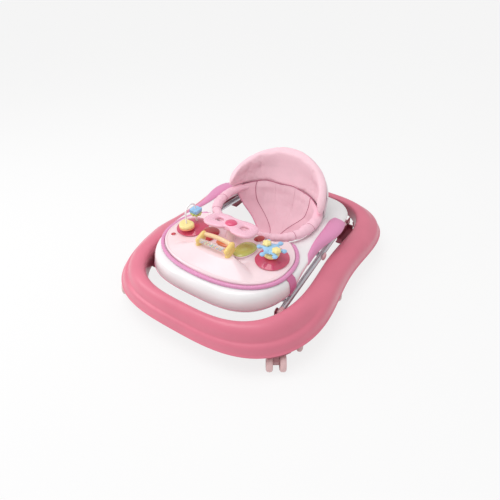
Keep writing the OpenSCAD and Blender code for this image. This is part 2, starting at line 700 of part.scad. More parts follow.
module arch_knob() {
    color([0.99, 0.93, 0.67])
    translate([-dome_x, dome_y - arch_r, knob_z])
        difference() {
            rotate_extrude() polygon([[0, 0], [14, 0], [17.5, 3], [18, 6], [16.5, 9], [17, 12], [16.5, 15],
                [13, 18], [0, 19]]);
            translate([0, 0, -1]) cylinder(r = wire_r + run, h = 30);
        }
}
module arch_block() {
    color([0.65, 0.82, 0.96])
    translate([-dome_x, dome_y + arch_r, block_z])
        difference() {
            union() {
                cylinder(r = 15, h = 9);
                translate([-14, -14, 9]) cube([28, 28, 12]);
            }
            translate([0, 0, -1]) cylinder(r = wire_r + run, h = 30);
        }
}
spin_z = plate_z + dome_h + gap;
module spinner_base() {
    color([0.99, 0.93, 0.67])
    translate([dome_x, dome_y, 0]) {
        translate([0, 0, plate_z + 1]) cylinder(r = post_r, h = dome_h + 30);
        translate([0, 0, spin_z]) rotate_extrude()
            polygon([[0, 0], [17, 0], [21, 4], [22, 9], [20, 14], [13, 18], [0, 18]]);
    }
}
module spinner_star() {
    color([0.65, 0.82, 0.96])
    translate([dome_x, dome_y, spin_z + 18.4])
        difference() {
            linear_extrude(8)
                union() {
                    circle(r = 15);
                    for (a = [0:60:300])
                        rotate(a + 15) {
                            translate([0, -5.5]) square([33, 11]);
                            translate([33, 0]) circle(r = 8);
                        }
                }
            translate([0, 0, -1]) cylinder(r = post_r + run, h = 10);
        }
}
module spinner_caps() {
    color([0.99, 0.93, 0.67])
    for (a = [-20, 160])
        translate([dome_x + 20 * cos(a), dome_y + 20 * sin(a), spin_z + 26.4])
            rotate_extrude() polygon([[0, 0], [12, 0], [12.5, 3], [11, 7], [7, 10], [0, 11]]);
}

wheel_tilt = 8;
loop_r = 24;
grip_r = 7.5;
hub_r = 22;
horn_r = 17.5;
// Places children on the steering column, +Z along it from the console
module on_column() {
    translate([0, console_y, top_z]) rotate([-wheel_tilt, 0, 0]) children();
}
module steering_column() {
    color([0.99, 0.85, 0.89])
    difference() {
        on_column() {
            translate([0, 0, -4]) cylinder(r1 = 15, r2 = 11, h = column_h - 5);
            cylinder(r = 5, h = column_h - 1);
        }
        translate([0, console_y, top_z - 20]) cube([60, 60, 40], center = true);
    }
}
module steering_wheel() {
    color([0.99, 0.82, 0.87])
    on_column()
        difference() {
            union() {
                translate([0, 0, column_h - 8.7]) cylinder(r = hub_r, h = 16);
                for (s = [-1, 1])
                    translate([s * (wheel_span - loop_r - grip_r), 0, column_h])
                        rotate_extrude() translate([loop_r, 0]) circle(r = grip_r);
            }
            translate([0, 0, column_h - 10]) cylinder(r = 5 + run, h = 9.4);
            translate([0, 0, column_h + 1]) cylinder(r = horn_r + gap, h = 20);
        }
}
module horn_button() {
    color([0.92, 0.36, 0.52])
    on_column() translate([0, 0, column_h + 3.5])
        rotate_extrude() polygon([[0, 0], [horn_r, 0], [horn_r, 4.5], [15, 6.5], [9, 8], [0, 8.6]]);
}

// Arched handle with a turning tube of beads
handle_y = -208;
handle_x = 46;
bar_r = 5.5;
bead_r = 4;
tube_out = 7;
bar_off = 11;         // the bar and the tube of beads stand off the handle's middle
bar_up = 26;
bead_up = 16;
bar_at = [handle_y + bar_off, wedge_z + bar_up];
bead_at = [handle_y - bar_off, wedge_z + bead_up];
module handle_ends() {
    color([0.99, 0.88, 0.55])
    for (s = [-1, 1])
        difference() {
            translate([s * handle_x, 0, 0]) rotate([90, 0, 90]) linear_extrude(14, center = true)
                union() {
                    translate(bar_at) circle(r = 10);
                    translate(bead_at) circle(r = 10);
                    polygon([[handle_y - 14, wedge_z], [handle_y + 12, wedge_z], [bar_at.x + 10, bar_at.y],
                        [bar_at.x - 6, bar_at.y + 8], [bead_at.x - 6, bead_at.y + 8], [bead_at.x - 10, bead_at.y]]);
                }
            translate([0, bar_at.x, bar_at.y]) along_x(2 * handle_x, bar_r + 0.02);
            translate([0, bead_at.x, bead_at.y]) along_x(2 * handle_x, 3 + run);
        }
}
module handle_bar() {
    color([0.98, 0.85, 0.72]) translate([0, bar_at.x, bar_at.y]) along_x(2 * handle_x - 1, bar_r);
}
module bead_tube() {
    half = handle_x - 7.3;
    color([0.95, 0.93, 0.85, 0.5])
    translate([0, bead_at.x, bead_at.y]) {
        difference() {
            along_x(2 * half, tube_out);
            along_x(2 * half - 4, tube_out - 1.2);
        }
        for (s = [-1, 1]) translate([s * (half + 2.5), 0, 0]) along_x(7, 3);
    }
}
module beads() {
    color([0.4, 0.6, 0.85])
    for (i = [-4:4])
        translate([i * (2 * bead_r + 0.1), bead_at.x, bead_at.y - tube_out + 1.2 + bead_r + 0.1])
            sphere(r = bead_r, $fn = 24);
}

// ---------- Seat ----------
roll_sides = 8;
sling_t = 3;
module seat_roll() {
    color([0.99, 0.86, 0.89])
    skin([for (i = [0:59]) let(f = i * 6, p = seat_at(f), q = seat_at(f, 10), n = (q - p) / norm(q - p))
        [for (j = [0:roll_sides - 1]) let(a = j * 360 / roll_sides - 22.5, c = 4 + roll_r / cos(22.5) * cos(a))
            [p.x + n.x * c, p.y + n.y * c, deck_z + gap + roll_r + roll_r / cos(22.5) * sin(a)]]]);
}
// Rows of the sling from its top down: inset from the opening, height over the deck
sling_rows = [[8, 0.1], [10, -0.07], [16, -0.28], [34, -0.57], [60, -0.84], [92, -1]];
module sling_plug(t) {
    skin([for (r = sling_rows) [for (i = [0:35]) let(p = seat_at(i * 10, -r.x - t))
        [p.x, p.y, deck_z + r.y * sling_d + (r.y < 0 ? t : 2 * t)]]], false);
}
module seat_sling() {
    color([0.97, 0.8, 0.85])
    difference() {
        sling_plug(0);
        sling_plug(sling_t);
        for (s = [-1, 1])
            translate([s * 58, seat_y - 10, deck_z - sling_d + 36]) rotate([90, 0, s * 14])
                cylinder(r = 44, h = 150);
    }
}
pad_lean = 0.16;      // how far the back leans outwards for each millimetre up
back_from = 8;        // angle round the opening where the back pad starts
back_base = deck_z + 2 * roll_r + 2 * gap;
function arch(f) = pow(max(0, sin((f - back_from) * 180 / (180 - 2 * back_from))), 0.6);
function back_pt(f, out, up) = let(p = seat_at(f), q = seat_at(f, 10), n = (q - p) / norm(q - p),
    c = out + max(0, up) * pad_lean * arch(f)) [p.x + n.x * c, p.y + n.y * c, back_base + up];
back_steps = 30;
function back_f(i) = back_from + i * (180 - 2 * back_from) / back_steps;
module seat_back_pad() {
    color([0.98, 0.82, 0.87])
    skin([for (i = [0:back_steps]) let(f = back_f(i), h = 30 + (back_h - 14) * arch(f), a = 15 - back_t)
        [back_pt(f, a + 4, 0), back_pt(f, 11, 0), back_pt(f, 15, 5), back_pt(f, 15, h * 0.6),
         back_pt(f, 15, h - 9), back_pt(f, 9, h - 1), back_pt(f, 2, h), back_pt(f, a, h - 6),
         back_pt(f, a - 4, h * 0.75), back_pt(f, a, h * 0.5), back_pt(f, a, 5)]], false);
}
module seat_back_board() {
    inner = 15 + 2 * gap;
    color([0.95, 0.94, 0.95])
    skin([for (i = [3:back_steps - 3]) let(f = back_f(i), h = back_h * arch(f) - 14)
        [back_pt(f, inner, deck_z - back_base), back_pt(f, inner + 5, deck_z - back_base),
         back_pt(f, inner + 5, 0), back_pt(f, inner + 4, h), back_pt(f, inner, h), back_pt(f, inner, 0)]],
        false);
}

base_ring();
caster_sockets();
leg_brackets();
leg_rails();
brake_pads();
caster_fork(1);  // caster_fork_1
caster_fork(2);  // caster_fork_2
caster_fork(3);  // caster_fork_3
caster_fork(4);  // caster_fork_4
caster_fork(5);  // caster_fork_5
caster_fork(6);  // caster_fork_6
caster_wheels(1);  // caster_wheels_1
caster_wheels(2);  // caster_wheels_2
caster_wheels(3);  // caster_wheels_3
caster_wheels(4);  // caster_wheels_4
caster_wheels(5);  // caster_wheels_5
caster_wheels(6);  // caster_wheels_6
outer_tube(1);  // outer_tube_left
outer_tube(-1);  // outer_tube_right
outer_cross_tube();
outer_tube_plugs();
pivot_pins();
pivot_covers();
inner_tube(1);  // inner_tube_left
inner_tube(-1);  // inner_tube_right
inner_cross_tube();
inner_tube_caps();
tray_shell();
tray_hinges();
tray_slides();
height_rack();
armrest(1);  // armrest_left
armrest(-1);  // armrest_right
panel_band();
side_clips();
toy_panel();
toy_domes();
steering_column();
steering_wheel();
horn_button();
light_red_left();
light_orange();
light_green();
light_red_right();
power_button();
handle_ends();
handle_bar();
bead_tube();
beads();
wire_arch();
arch_knob();
arch_block();
spinner_base();
spinner_star();
spinner_caps();
seat_roll();
seat_sling();
seat_back_pad();
seat_back_board();
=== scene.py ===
import bpy
import bmesh
import math
from mathutils import Matrix, Vector, noise


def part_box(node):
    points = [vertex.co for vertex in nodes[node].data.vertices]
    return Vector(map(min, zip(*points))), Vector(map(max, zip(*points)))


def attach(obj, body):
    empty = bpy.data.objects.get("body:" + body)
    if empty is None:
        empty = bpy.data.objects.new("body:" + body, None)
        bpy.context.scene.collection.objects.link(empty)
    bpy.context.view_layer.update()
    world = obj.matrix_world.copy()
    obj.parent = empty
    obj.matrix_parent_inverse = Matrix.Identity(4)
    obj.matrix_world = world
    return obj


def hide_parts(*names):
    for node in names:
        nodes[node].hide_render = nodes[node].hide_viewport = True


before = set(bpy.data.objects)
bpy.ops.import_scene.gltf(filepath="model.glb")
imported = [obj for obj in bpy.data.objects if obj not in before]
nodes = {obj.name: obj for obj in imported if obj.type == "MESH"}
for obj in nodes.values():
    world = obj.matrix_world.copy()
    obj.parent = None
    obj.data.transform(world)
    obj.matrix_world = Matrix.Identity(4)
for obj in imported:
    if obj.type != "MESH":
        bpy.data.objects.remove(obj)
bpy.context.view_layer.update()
MM = 0.001

# ---------- Base ring ----------
# One moulding of rose-pink polypropylene that circles the whole walker.
# It leaves the tool with a fine satin texture, and a raised tier rises inside
# the lip at the front. The fork sockets are screwed under it.


def paint(red, green, blue):
    """A paint-chart colour as linear light."""
    def line(c):
        c /= 255
        return c / 12.92 if c < 0.04045 else ((c + 0.055) / 1.055) ** 2.4
    return (line(red), line(green), line(blue), 1)


def fill(tree, node, inputs):
    """Fills or links a shader node's inputs."""
    for key, value in inputs.items():
        if isinstance(value, bpy.types.NodeSocket):
            tree.links.new(value, node.inputs[key])
        else:
            node.inputs[key].default_value = value


def put(tree, kind, inputs=None, **settings):
    """Adds a shader node, sets its options and fills or links its inputs."""
    node = tree.nodes.new("ShaderNode" + kind)
    for key, value in settings.items():
        setattr(node, key, value)
    fill(tree, node, inputs or {})
    return node


def maths(tree, operation, *values, **settings):
    """The result of a maths node."""
    return put(tree, "Math", dict(enumerate(values)), operation=operation, **settings).outputs[0]


def mapped(tree, value, *limits):
    """A value moved from one range to another, given as four limits."""
    return put(tree, "MapRange", {"Value": value, **dict(enumerate(limits, 1))}).outputs[0]


def cloudy(tree, place, scale, detail=3, **more):
    """A noise texture's value."""
    return put(tree, "TexNoise", {"Vector": place, "Scale": scale, "Detail": detail, **more}).outputs["Fac"]


def blend(tree, share, first, second):
    """A share of a second colour mixed into a first."""
    return put(tree, "Mix", {0: share, 6: first, 7: second}, data_type="RGBA").outputs[2]


def relief(tree, height, depth, strength):
    """A normal bent by a height."""
    return put(tree, "Bump", {"Height": height, "Distance": depth, "Strength": strength}).outputs["Normal"]


def start_finish(name):
    """A new material, its node tree and its shader."""
    finish = bpy.data.materials.new(name)
    finish.use_nodes = True
    return finish, finish.node_tree, finish.node_tree.nodes["Principled BSDF"]


def start_group(name, inputs, outputs):
    """An empty shader group with its two ends in place."""
    tree = bpy.data.node_groups.new(name, "ShaderNodeTree")
    for label, kind, value in inputs:
        socket = tree.interface.new_socket(label, in_out="INPUT", socket_type="NodeSocket" + kind)
        socket.default_value = value
    for label, kind in outputs:
        tree.interface.new_socket(label, in_out="OUTPUT", socket_type="NodeSocket" + kind)
    return tree, tree.nodes.new("NodeGroupInput").outputs, tree.nodes.new("NodeGroupOutput").inputs


def moulded_skin_group():
    """Satin moulded plastic: soft mottle, fine grain, paler worn edges."""
    tree, given, result = start_group(
        "moulded_skin",
        [("Colour", "Color", (1, 1, 1, 1)), ("Worn Colour", "Color", (1, 1, 1, 1)), ("Wear", "Float", 0.3),
         ("Roughness", "Float", 0.4), ("Grain Size", "Float", 900)],
        [("Colour", "Color"), ("Roughness", "Float"), ("Height", "Float")])
    place = put(tree, "TexCoord").outputs["Object"]
    cloud = cloudy(tree, place, 14)
    grain = cloudy(tree, place, given["Grain Size"], 2)
    scuff = cloudy(tree, place, 160, 4, Roughness=0.7)
    tone = mapped(tree, cloud, 0.3, 0.7, 0.965, 1.03)
    toned = put(tree, "HueSaturation", {"Value": tone, "Color": given["Colour"]}).outputs[0]
    ridge = put(tree, "NewGeometry").outputs["Pointiness"]
    edge = mapped(tree, ridge, 0.52, 0.62, 0, 1)
    rubbed = maths(tree, "MULTIPLY", edge, scuff)
    worn = maths(tree, "MULTIPLY", rubbed, given["Wear"], use_clamp=True)
    tree.links.new(blend(tree, worn, toned, given["Worn Colour"]), result["Colour"])
    shift = mapped(tree, scuff, 0.25, 0.75, -0.05, 0.07)
    rough = maths(tree, "ADD", given["Roughness"], shift)
    tree.links.new(rough, result["Roughness"])
    tree.links.new(grain, result["Height"])
    return tree


moulded_skin = moulded_skin_group()


def moulded(name, colour, worn=None, wear=0.35, roughness=0.36, grain=900, depth=0.00003, coat=0.0,
            coat_roughness=0.12, alpha=1.0):
    """A moulded plastic finish in one colour."""
    finish, tree, shader = start_finish(name)
    worn = worn or tuple(c + (1 - c) * 0.35 for c in colour[:3]) + (1,)
    skin = put(tree, "Group", {"Colour": colour, "Worn Colour": worn, "Wear": wear, "Roughness": roughness,
                               "Grain Size": grain}, node_tree=moulded_skin).outputs
    fill(tree, shader, {"Base Color": skin["Colour"], "Roughness": skin["Roughness"],
                        "Normal": relief(tree, skin["Height"], depth, 0.6), "Coat Weight": coat,
                        "Coat Roughness": coat_roughness, "Alpha": alpha})
    return finish


def dress(finish, *names):
    """Gives CAD nodes a finish."""
    for name in names:
        for held in nodes[name].material_slots:
            held.material = finish


def shade(mesh, limit=38):
    """Smooth shading with crisp edges where faces meet at more than the limit."""
    for face in mesh.faces:
        face.smooth = True
    for edge in mesh.edges:
        edge.smooth = edge.calc_face_angle(0) < math.radians(limit)


def finished(name, mesh, finish, body):
    """Stores a bmesh as a piece with its finish, riding on its body."""
    data = bpy.data.meshes.new(name)
    mesh.to_mesh(data)
    mesh.free()
    data.materials.append(finish)
    piece = bpy.data.objects.new(name, data)
    bpy.context.scene.collection.objects.link(piece)
    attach(piece, body)
    return piece


def merged_copy(node, quads=True):
    """A CAD node's mesh with its loose triangles joined up."""
    mesh = bmesh.new()
    mesh.from_mesh(nodes[node].data)
    bmesh.ops.remove_doubles(mesh, verts=mesh.verts, dist=0.01 * MM)
    if quads:
        bmesh.ops.join_triangles(mesh, faces=mesh.faces, angle_face_threshold=math.radians(60),
                                 angle_shape_threshold=math.radians(75))
    return mesh


def rounded(piece, levels):
    """Subdivides a piece into a smooth surface."""
    smooth = piece.modifiers.new("rounding", "SUBSURF")
    smooth.levels = levels
    smooth.render_levels = levels


ring_rose = paint(229, 124, 147)
ring_finish = moulded("rose_ring", ring_rose, wear=0.25, roughness=0.36, grain=1400, coat=0.2,
                      coat_roughness=0.28)


def paint_inner_wall_shade(finish, deep):
    """Paints shade onto the ring's low inner wall: faces that look inwards below the lip are mixed towards a
    darker colour.
    """
    tree = finish.node_tree
    shader = tree.nodes["Principled BSDF"]
    surface = shader.inputs["Base Color"].links[0].from_socket
    place = put(tree, "TexCoord").outputs["Object"]
    facing = put(tree, "NewGeometry").outputs["Normal"]
    flat = put(tree, "VectorMath", {0: place, 1: (1, 1, 0)}, operation="MULTIPLY").outputs[0]
    away = put(tree, "VectorMath", {0: flat}, operation="NORMALIZE").outputs[0]
    outward = put(tree, "VectorMath", {0: facing, 1: away}, operation="DOT_PRODUCT").outputs["Value"]
    inner = mapped(tree, outward, -0.15, -0.7, 0, 1)
    level = put(tree, "SeparateXYZ", {0: place}).outputs[2]
    low = mapped(tree, level, 0.104, 0.088, 0, 1)
    share = maths(tree, "MULTIPLY", inner, low, use_clamp=True)
    mixed = blend(tree, share, surface, deep)
    tree.links.new(mixed, shader.inputs["Base Color"])


# Painted shade: the shadowed low inner wall of the ring is darkened towards this maroon.
paint_inner_wall_shade(ring_finish, paint(160, 70, 90))
ring_mesh = merged_copy("base_ring")
shade(ring_mesh, 180)
ring = finished("ring_moulding", ring_mesh, ring_finish, "base")
rounded(ring, 2)
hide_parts("base_ring")

under_finish = moulded("rose_underside", paint(170, 78, 98), wear=0.2, roughness=0.5)
dress(under_finish, "caster_sockets", "leg_brackets", "leg_rails", "height_rack")
dress(moulded("brake_rubber", paint(214, 176, 178), wear=0.1, roughness=0.75, depth=0.0001), "brake_pads")

# ---------- Casters ----------
# Six twin-wheel casters: a dusty-rose nylon housing turns on a steel stem,
# and two pale wheels turn on one axle at its trailing end.

housing_finish = moulded("dusty_housing", paint(190, 132, 138), wear=0.3, roughness=0.42)
tread_finish = moulded("pale_tread", paint(236, 198, 198), wear=0.2, roughness=0.5, depth=0.00006)
for number in range(1, 7):
    dress(housing_finish, f"caster_fork_{number}")
    dress(tread_finish, f"caster_wheels_{number}")

# ---------- Folding frame ----------
# Two pairs of 16 mm steel tube cross in a scissor on each side.
# The tubes are powder-coated in silvery white and their ends are plugged with
# pale pink nylon knuckles. A domed cover hides each middle pivot.


def brushed_tube_finish():
    """Silvery lacquer over drawn steel: faint draw lines along the tube."""
    finish, tree, shader = start_finish("lacquered_tube")
    place = put(tree, "TexCoord").outputs["Object"]
    drawn = put(tree, "Mapping", {"Vector": place, "Scale": (900, 20, 900)}).outputs[0]
    lines = cloudy(tree, drawn, 1)
    tones = put(tree, "ValToRGB", {0: lines})
    tones.color_ramp.elements[0].color = paint(206, 208, 216)
    tones.color_ramp.elements[1].color = paint(238, 239, 244)
    fill(tree, shader, {"Base Color": tones.outputs[0], "Roughness": mapped(tree, lines, 0, 1, 0.16, 0.3),
                        "Normal": relief(tree, lines, 0.00002, 0.5), "Metallic": 0.55, "Coat Weight": 0.4})
    return finish


tube_finish = brushed_tube_finish()
dress(tube_finish, "outer_tube_left", "outer_tube_right", "outer_cross_tube",
      "inner_tube_left", "inner_tube_right", "inner_cross_tube", "pivot_pins")
knuckle_finish = moulded("pale_knuckle", paint(246, 196, 202), wear=0.25, roughness=0.35, coat=0.2)
dress(knuckle_finish, "outer_tube_plugs", "inner_tube_caps", "pivot_covers")

# ---------- Tray ----------
# One glossy white ABS moulding: a rounded nose at the front, an arched side over
# the legs, and a round opening for the seat. Hinge ears and slides are screwed
# to its underside.

tray_finish = moulded("tray_white", paint(247, 244, 245), worn=paint(255, 255, 255), wear=0.2, roughness=0.2,
                      grain=500, depth=0.00001, coat=0.35, coat_roughness=0.06)
tray_mesh = merged_copy("tray_shell")
shade(tray_mesh, 180)
tray = finished("tray_moulding", tray_mesh, tray_finish, "tray")
rounded(tray, 2)
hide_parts("tray_shell")
dress(moulded("bracket_white", paint(228, 226, 228), wear=0.2, roughness=0.45), "tray_hinges", "tray_slides")


def piped(name, points, radius, finish, closed=False, sides=8, body="tray"):
    """A round cord or bead laid along a line of points in millimetres."""
    curve = bpy.data.curves.new(name, "CURVE")
    curve.dimensions = "3D"
    line = curve.splines.new("POLY")
    line.points.add(len(points) - 1)
    for knot, point in zip(line.points, points):
        knot.co = (*(Vector(point) * MM), 1)
    line.use_cyclic_u = closed
    curve.bevel_depth = radius * MM
    curve.bevel_resolution = sides // 4
    curve.use_fill_caps = True
    holder = bpy.data.objects.new(name, curve)
    bpy.context.scene.collection.objects.link(holder)
    graph = bpy.context.evaluated_depsgraph_get()
    data = bpy.data.meshes.new_from_object(holder.evaluated_get(graph))
    bpy.data.objects.remove(holder)
    mesh = bmesh.new()
    mesh.from_mesh(data)
    bpy.data.meshes.remove(data)
    shade(mesh, 60)
    return finished(name, mesh, finish, body)


TRAY_WIDE, TRAY_DEEP, TRAY_Y = 219, 289, -27


def tray_line(share, height):
    """A point on the tray's side, a height above the hem at the nose; share runs round the front half."""
    turn = math.pi * (1 + share)
    c, s = math.cos(turn), math.sin(turn)
    out = ((abs(c) / TRAY_WIDE) ** 3.3 + (abs(s) / TRAY_DEEP) ** 3.3) ** (-1 / 3.3)
    x, y = out * c, out * s + TRAY_Y
    x *= 1 - 0.05 * math.exp(-((y + 20) / 80) ** 2)
    rise = min(1, max(0, (y + 190) / 80))
    return x, y, 104 + 42 * rise * rise * (3 - 2 * rise) + height


trim_finish = moulded("hem_trim", paint(226, 150, 172), wear=0.0, roughness=0.4)
hem_points = [tray_line(0.03 + 0.94 * k / 180, 12.5) for k in range(181)]
hem_line = piped("tray_hem_line", hem_points, 0.9, trim_finish)

# ---------- Side guards ----------
# A soft mauve PVC guard is stretched over each side of the tray, where the
# elbows rest. It is moulded in one piece with a rolled rim.

guard_finish = moulded("mauve_guard", paint(230, 150, 192), wear=0.15, roughness=0.42, grain=1600,
                       depth=0.00005, coat=0.1, coat_roughness=0.35)
GUARD_MIDDLE = 201 * MM       # distance of a guard's middle line from the walker's middle
GUARD_REAR = 75 * MM          # where a guard is widest
GUARD_FADE = 75 * MM          # over what length it narrows again
for side in ("left", "right"):
    guard_mesh = merged_copy(f"armrest_{side}")
    for vertex in guard_mesh.verts:
        wide = math.exp(-((vertex.co.y - GUARD_REAR) / GUARD_FADE) ** 2)
        past = max(0.0, abs(vertex.co.x) - GUARD_MIDDLE)
        vertex.co.x += math.copysign(0.45 * wide * past, vertex.co.x)
        vertex.co.z += 0.12 * wide * past
    shade(guard_mesh, 180)
    guard = finished(f"guard_{side}", guard_mesh, guard_finish, "tray")
    rounded(guard, 2)
    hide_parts(f"armrest_{side}")

# ---------- Toy panel ----------
# A pale pink ABS panel snaps into the tray inside a mauve band. Its middle rises
# into a console, and a swooping ridge along the front carries the handle. Two
# straps of the band hook over the tray's sides.


def bent_grid(across, along, place, mesh=None):
    """A grid of quads bent into a surface; place gives the point, in millimetres, for two shares."""
    mesh = mesh or bmesh.new()
    mesh.loops.layers.uv.verify()
    fresh = bmesh.ops.create_grid(mesh, x_segments=across, y_segments=along, size=0.5, calc_uvs=True)["verts"]
    for vertex in fresh:
        vertex.co = Vector(place(vertex.co.x + 0.5, vertex.co.y + 0.5)) * MM
    bmesh.ops.remove_doubles(mesh, verts=fresh, dist=0.02 * MM)
    bmesh.ops.recalc_face_normals(mesh, faces=mesh.faces)
    return mesh


def smooth(value):
    """Eases a share in and out."""
    value = min(1, max(0, value))
    return value * value * (3 - 2 * value)


panel_low, panel_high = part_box("toy_panel")
band_low, band_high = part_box("panel_band")
DECK = band_low.z / MM
PLATE = DECK + 9
PANEL_Y = -150
PANEL_WIDE = panel_high.x / MM
PANEL_DEEP = PANEL_Y - panel_low.y / MM
BAND_WIDE = band_high.x / MM
BAND_DEEP = PANEL_Y - band_low.y / MM
CONSOLE_Y = -137
HUB = Vector((0, -180, 0))


def in_oval(x, y, wide, deep):
    """True inside the band's oval and clear of the seat's roll."""
    seat = abs(x / 174) ** 2.5 + abs((y - 54) / 140) ** 2.5
    return abs(x / wide) ** 2.3 + abs((y - PANEL_Y) / deep) ** 2.3 <= 1 and seat >= 1


def reach(turn, wide, deep):
    """Distance from the panel's hub to its edge, found by halving."""
    near, far = 0, 260
    for _ in range(22):
        middle = (near + far) / 2
        inside = in_oval(HUB.x + middle * math.cos(turn), HUB.y + middle * math.sin(turn), wide, deep)
        near, far = (middle, far) if inside else (near, middle)
    return near


def panel_rise(x, y):
    """Height of the panel's face over its plate."""
    console = (abs(x / 92) ** 3 + abs((y - CONSOLE_Y) / 64) ** 3) ** (1 / 3)
    step = 12 * (1 - smooth((console - 0.84) / 0.28))
    low, high = 0.0, 1.0
    for _ in range(12):
        share = (low + high) / 2
        wide, deep, middle = 131 - 66 * share, 50 - 31 * share, -236 + 18 * share
        if (x / wide) ** 2 + ((y - middle) / deep) ** 2 <= 1:
            low = share
        else:
            high = share
    ridge = 25 * low ** 1.25
    return (step ** 4 + ridge ** 4) ** 0.25


FROM_EDGE = [10, 8, 6.4, 5.2, 4.2, 3.3, 2.5, 1.8, 1.1, 0.5, 0, 0, 0]
INNER_RINGS = 56


def panel_point(along, around):
    """A point of the panel: from the hub out to its rolled edge and down the skirt."""
    turn = around * 2 * math.pi
    whole = reach(turn, PANEL_WIDE, PANEL_DEEP)
    ring = round(along * (INNER_RINGS + len(FROM_EDGE) - 1))
    edge = 10 if ring < INNER_RINGS else FROM_EDGE[ring - INNER_RINGS]
    out = (whole - 10) * ring / INNER_RINGS if ring < INNER_RINGS else whole - edge
    x, y = HUB.x + out * math.cos(turn), HUB.y + out * math.sin(turn)
    height = PLATE + panel_rise(x, y)
    if ring >= INNER_RINGS:
        height += 1.5 * math.exp(-((edge - 4.2) / 2.0) ** 2) - 1.6 * max(0, 1 - edge / 1.8) ** 2
    if ring >= INNER_RINGS + len(FROM_EDGE) - 2:
        height = DECK + (4 if ring == INNER_RINGS + len(FROM_EDGE) - 2 else 0.6)
    return x, y, height


panel_finish = moulded("panel_pale", paint(253, 228, 233), wear=0.1, roughness=0.22, grain=700,
                       depth=0.00001, coat=0.35)
panel_mesh = bent_grid(INNER_RINGS + len(FROM_EDGE) - 1, 216, panel_point)
shade(panel_mesh, 50)
panel = finished("panel_moulding", panel_mesh, panel_finish, "tray")
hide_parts("toy_panel")
dress(panel_finish, "steering_column")

BAND_SECTION = [(0.2, 0.2), (0.2, 4.6), (0.9, 6.2), (2.4, 7.2), (5.5, 7.7), (8.6, 7.2), (10.1, 6.0),
                (10.7, 4.2), (10.7, 0.2)]


def band_point(along, around):
    """A point of the band's rounded section round the panel."""
    turn = around * 2 * math.pi
    inset, height = BAND_SECTION[round(along * (len(BAND_SECTION) - 1))]
    whole = reach(turn, BAND_WIDE, BAND_DEEP)
    seat_side = math.sin(turn) > 0 and abs(HUB.x + whole * math.cos(turn)) < 150
    if seat_side:
        inset, height = 2 + inset * 0.3, height * 0.5
    out = whole - inset
    return HUB.x + out * math.cos(turn), HUB.y + out * math.sin(turn), DECK + height


band_finish = moulded("mauve_band", paint(230, 152, 196), wear=0.0, roughness=0.26, coat=0.35)
band_mesh = bent_grid(len(BAND_SECTION) - 1, 240, band_point)
shade(band_mesh, 60)
band = finished("band_moulding", band_mesh, band_finish, "tray")
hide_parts("panel_band")
clip_mesh = merged_copy("side_clips")
shade(clip_mesh, 50)
strap_finish = moulded("mauve_strap", paint(210, 112, 158), wear=0.15, roughness=0.3, coat=0.2)
clips = finished("band_straps", clip_mesh, strap_finish, "tray")
soft_edge = clips.modifiers.new("eased_edges", "BEVEL")
soft_edge.width = 0.8 * MM
soft_edge.segments = 2
soft_edge.angle_limit = math.radians(50)
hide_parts("side_clips")

# ---------- Domes ----------
# Two glossy raspberry mounds with a rolled edge, welded to the panel under the
# toys on either side.


def eased(value, power):
    """A sine or cosine squared up or rounded off, with its sign kept."""
    return math.copysign(abs(value) ** power, value)


def superellipse(wide, deep, power=2.0):
    """An oval outline, squarer as the power grows, for a share of the turn."""
    def at(share):
        c, s = math.cos(share * 2 * math.pi), math.sin(share * 2 * math.pi)
        return wide * eased(c, 2 / power), deep * eased(s, 2 / power)
    return at


def soft_loop(*knots):
    """A rounded outline that follows its knots as a bent batten does."""
    def at(share):
        place = share * len(knots)
        t = place - math.floor(place)
        a, b, c, d = (Vector(knots[(math.floor(place) + k) % len(knots)]) for k in (-1, 0, 1, 2))
        point = (a * (1 - t) ** 3 + b * (3 * t ** 3 - 6 * t * t + 4)
                 + c * (3 * t * (1 + t - t * t) + 1) + d * t ** 3) / 6
        return point.x, point.y
    return at


def pressed(name, outline, profile, at, finish, body, turns=72, limit=50, levels=1):
    """A moulded solid: an outline drawn in by (share, height) pairs, from its top's middle to its foot."""
    def place(along, around):
        share, height = profile[round(along * (len(profile) - 1))]
        x, y = outline(around % 1)
        return at[0] + x * share, at[1] + y * share, at[2] + height
    mesh = bent_grid(len(profile) - 1, turns, place)
    shade(mesh, limit)
    piece = finished(name, mesh, finish, body)
    rounded(piece, levels)
    return piece


dome_finish = moulded("dome_rose", paint(212, 80, 112), wear=0.1, roughness=0.14, depth=0.00001, coat=0.6,
                      coat_roughness=0.05)
DOME = [(0, 14), (0.25, 13.4), (0.5, 11.6), (0.7, 9.0), (0.85, 6.0), (0.93, 4.4), (0.97, 3.9), (1.0, 3.0),
        (1.0, 0.4), (0, 0.4)]
for side, sign in (("left", 1), ("right", -1)):
    dome = pressed(f"dome_{side}", superellipse(45, 49), DOME, (sign * 133, -140, PLATE), dome_finish, "tray")
    if sign > 0:
        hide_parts("toy_domes")

# ---------- Lights ----------
# Four lit buttons of clear tinted acrylic: two fans, an oval and a small
# triangle. Each stands in a pink bezel and presses down on its own switch.


def lens_finish(name, colour, deep):
    """Tinted acrylic over a patterned reflector."""
    finish = moulded(name, colour, wear=0.0, roughness=0.1, depth=0.00001, coat=0.8, coat_roughness=0.03)
    tree = finish.node_tree
    shader = tree.nodes["Principled BSDF"]
    place = put(tree, "TexCoord").outputs["Object"]
    cells = put(tree, "TexVoronoi", {"Vector": place, "Scale": 420}).outputs["Distance"]
    share = mapped(tree, cells, 0.1, 0.7, 0, 0.3)
    tint = blend(tree, share, colour, deep)
    tree.links.new(tint, shader.inputs["Base Color"])
    return finish


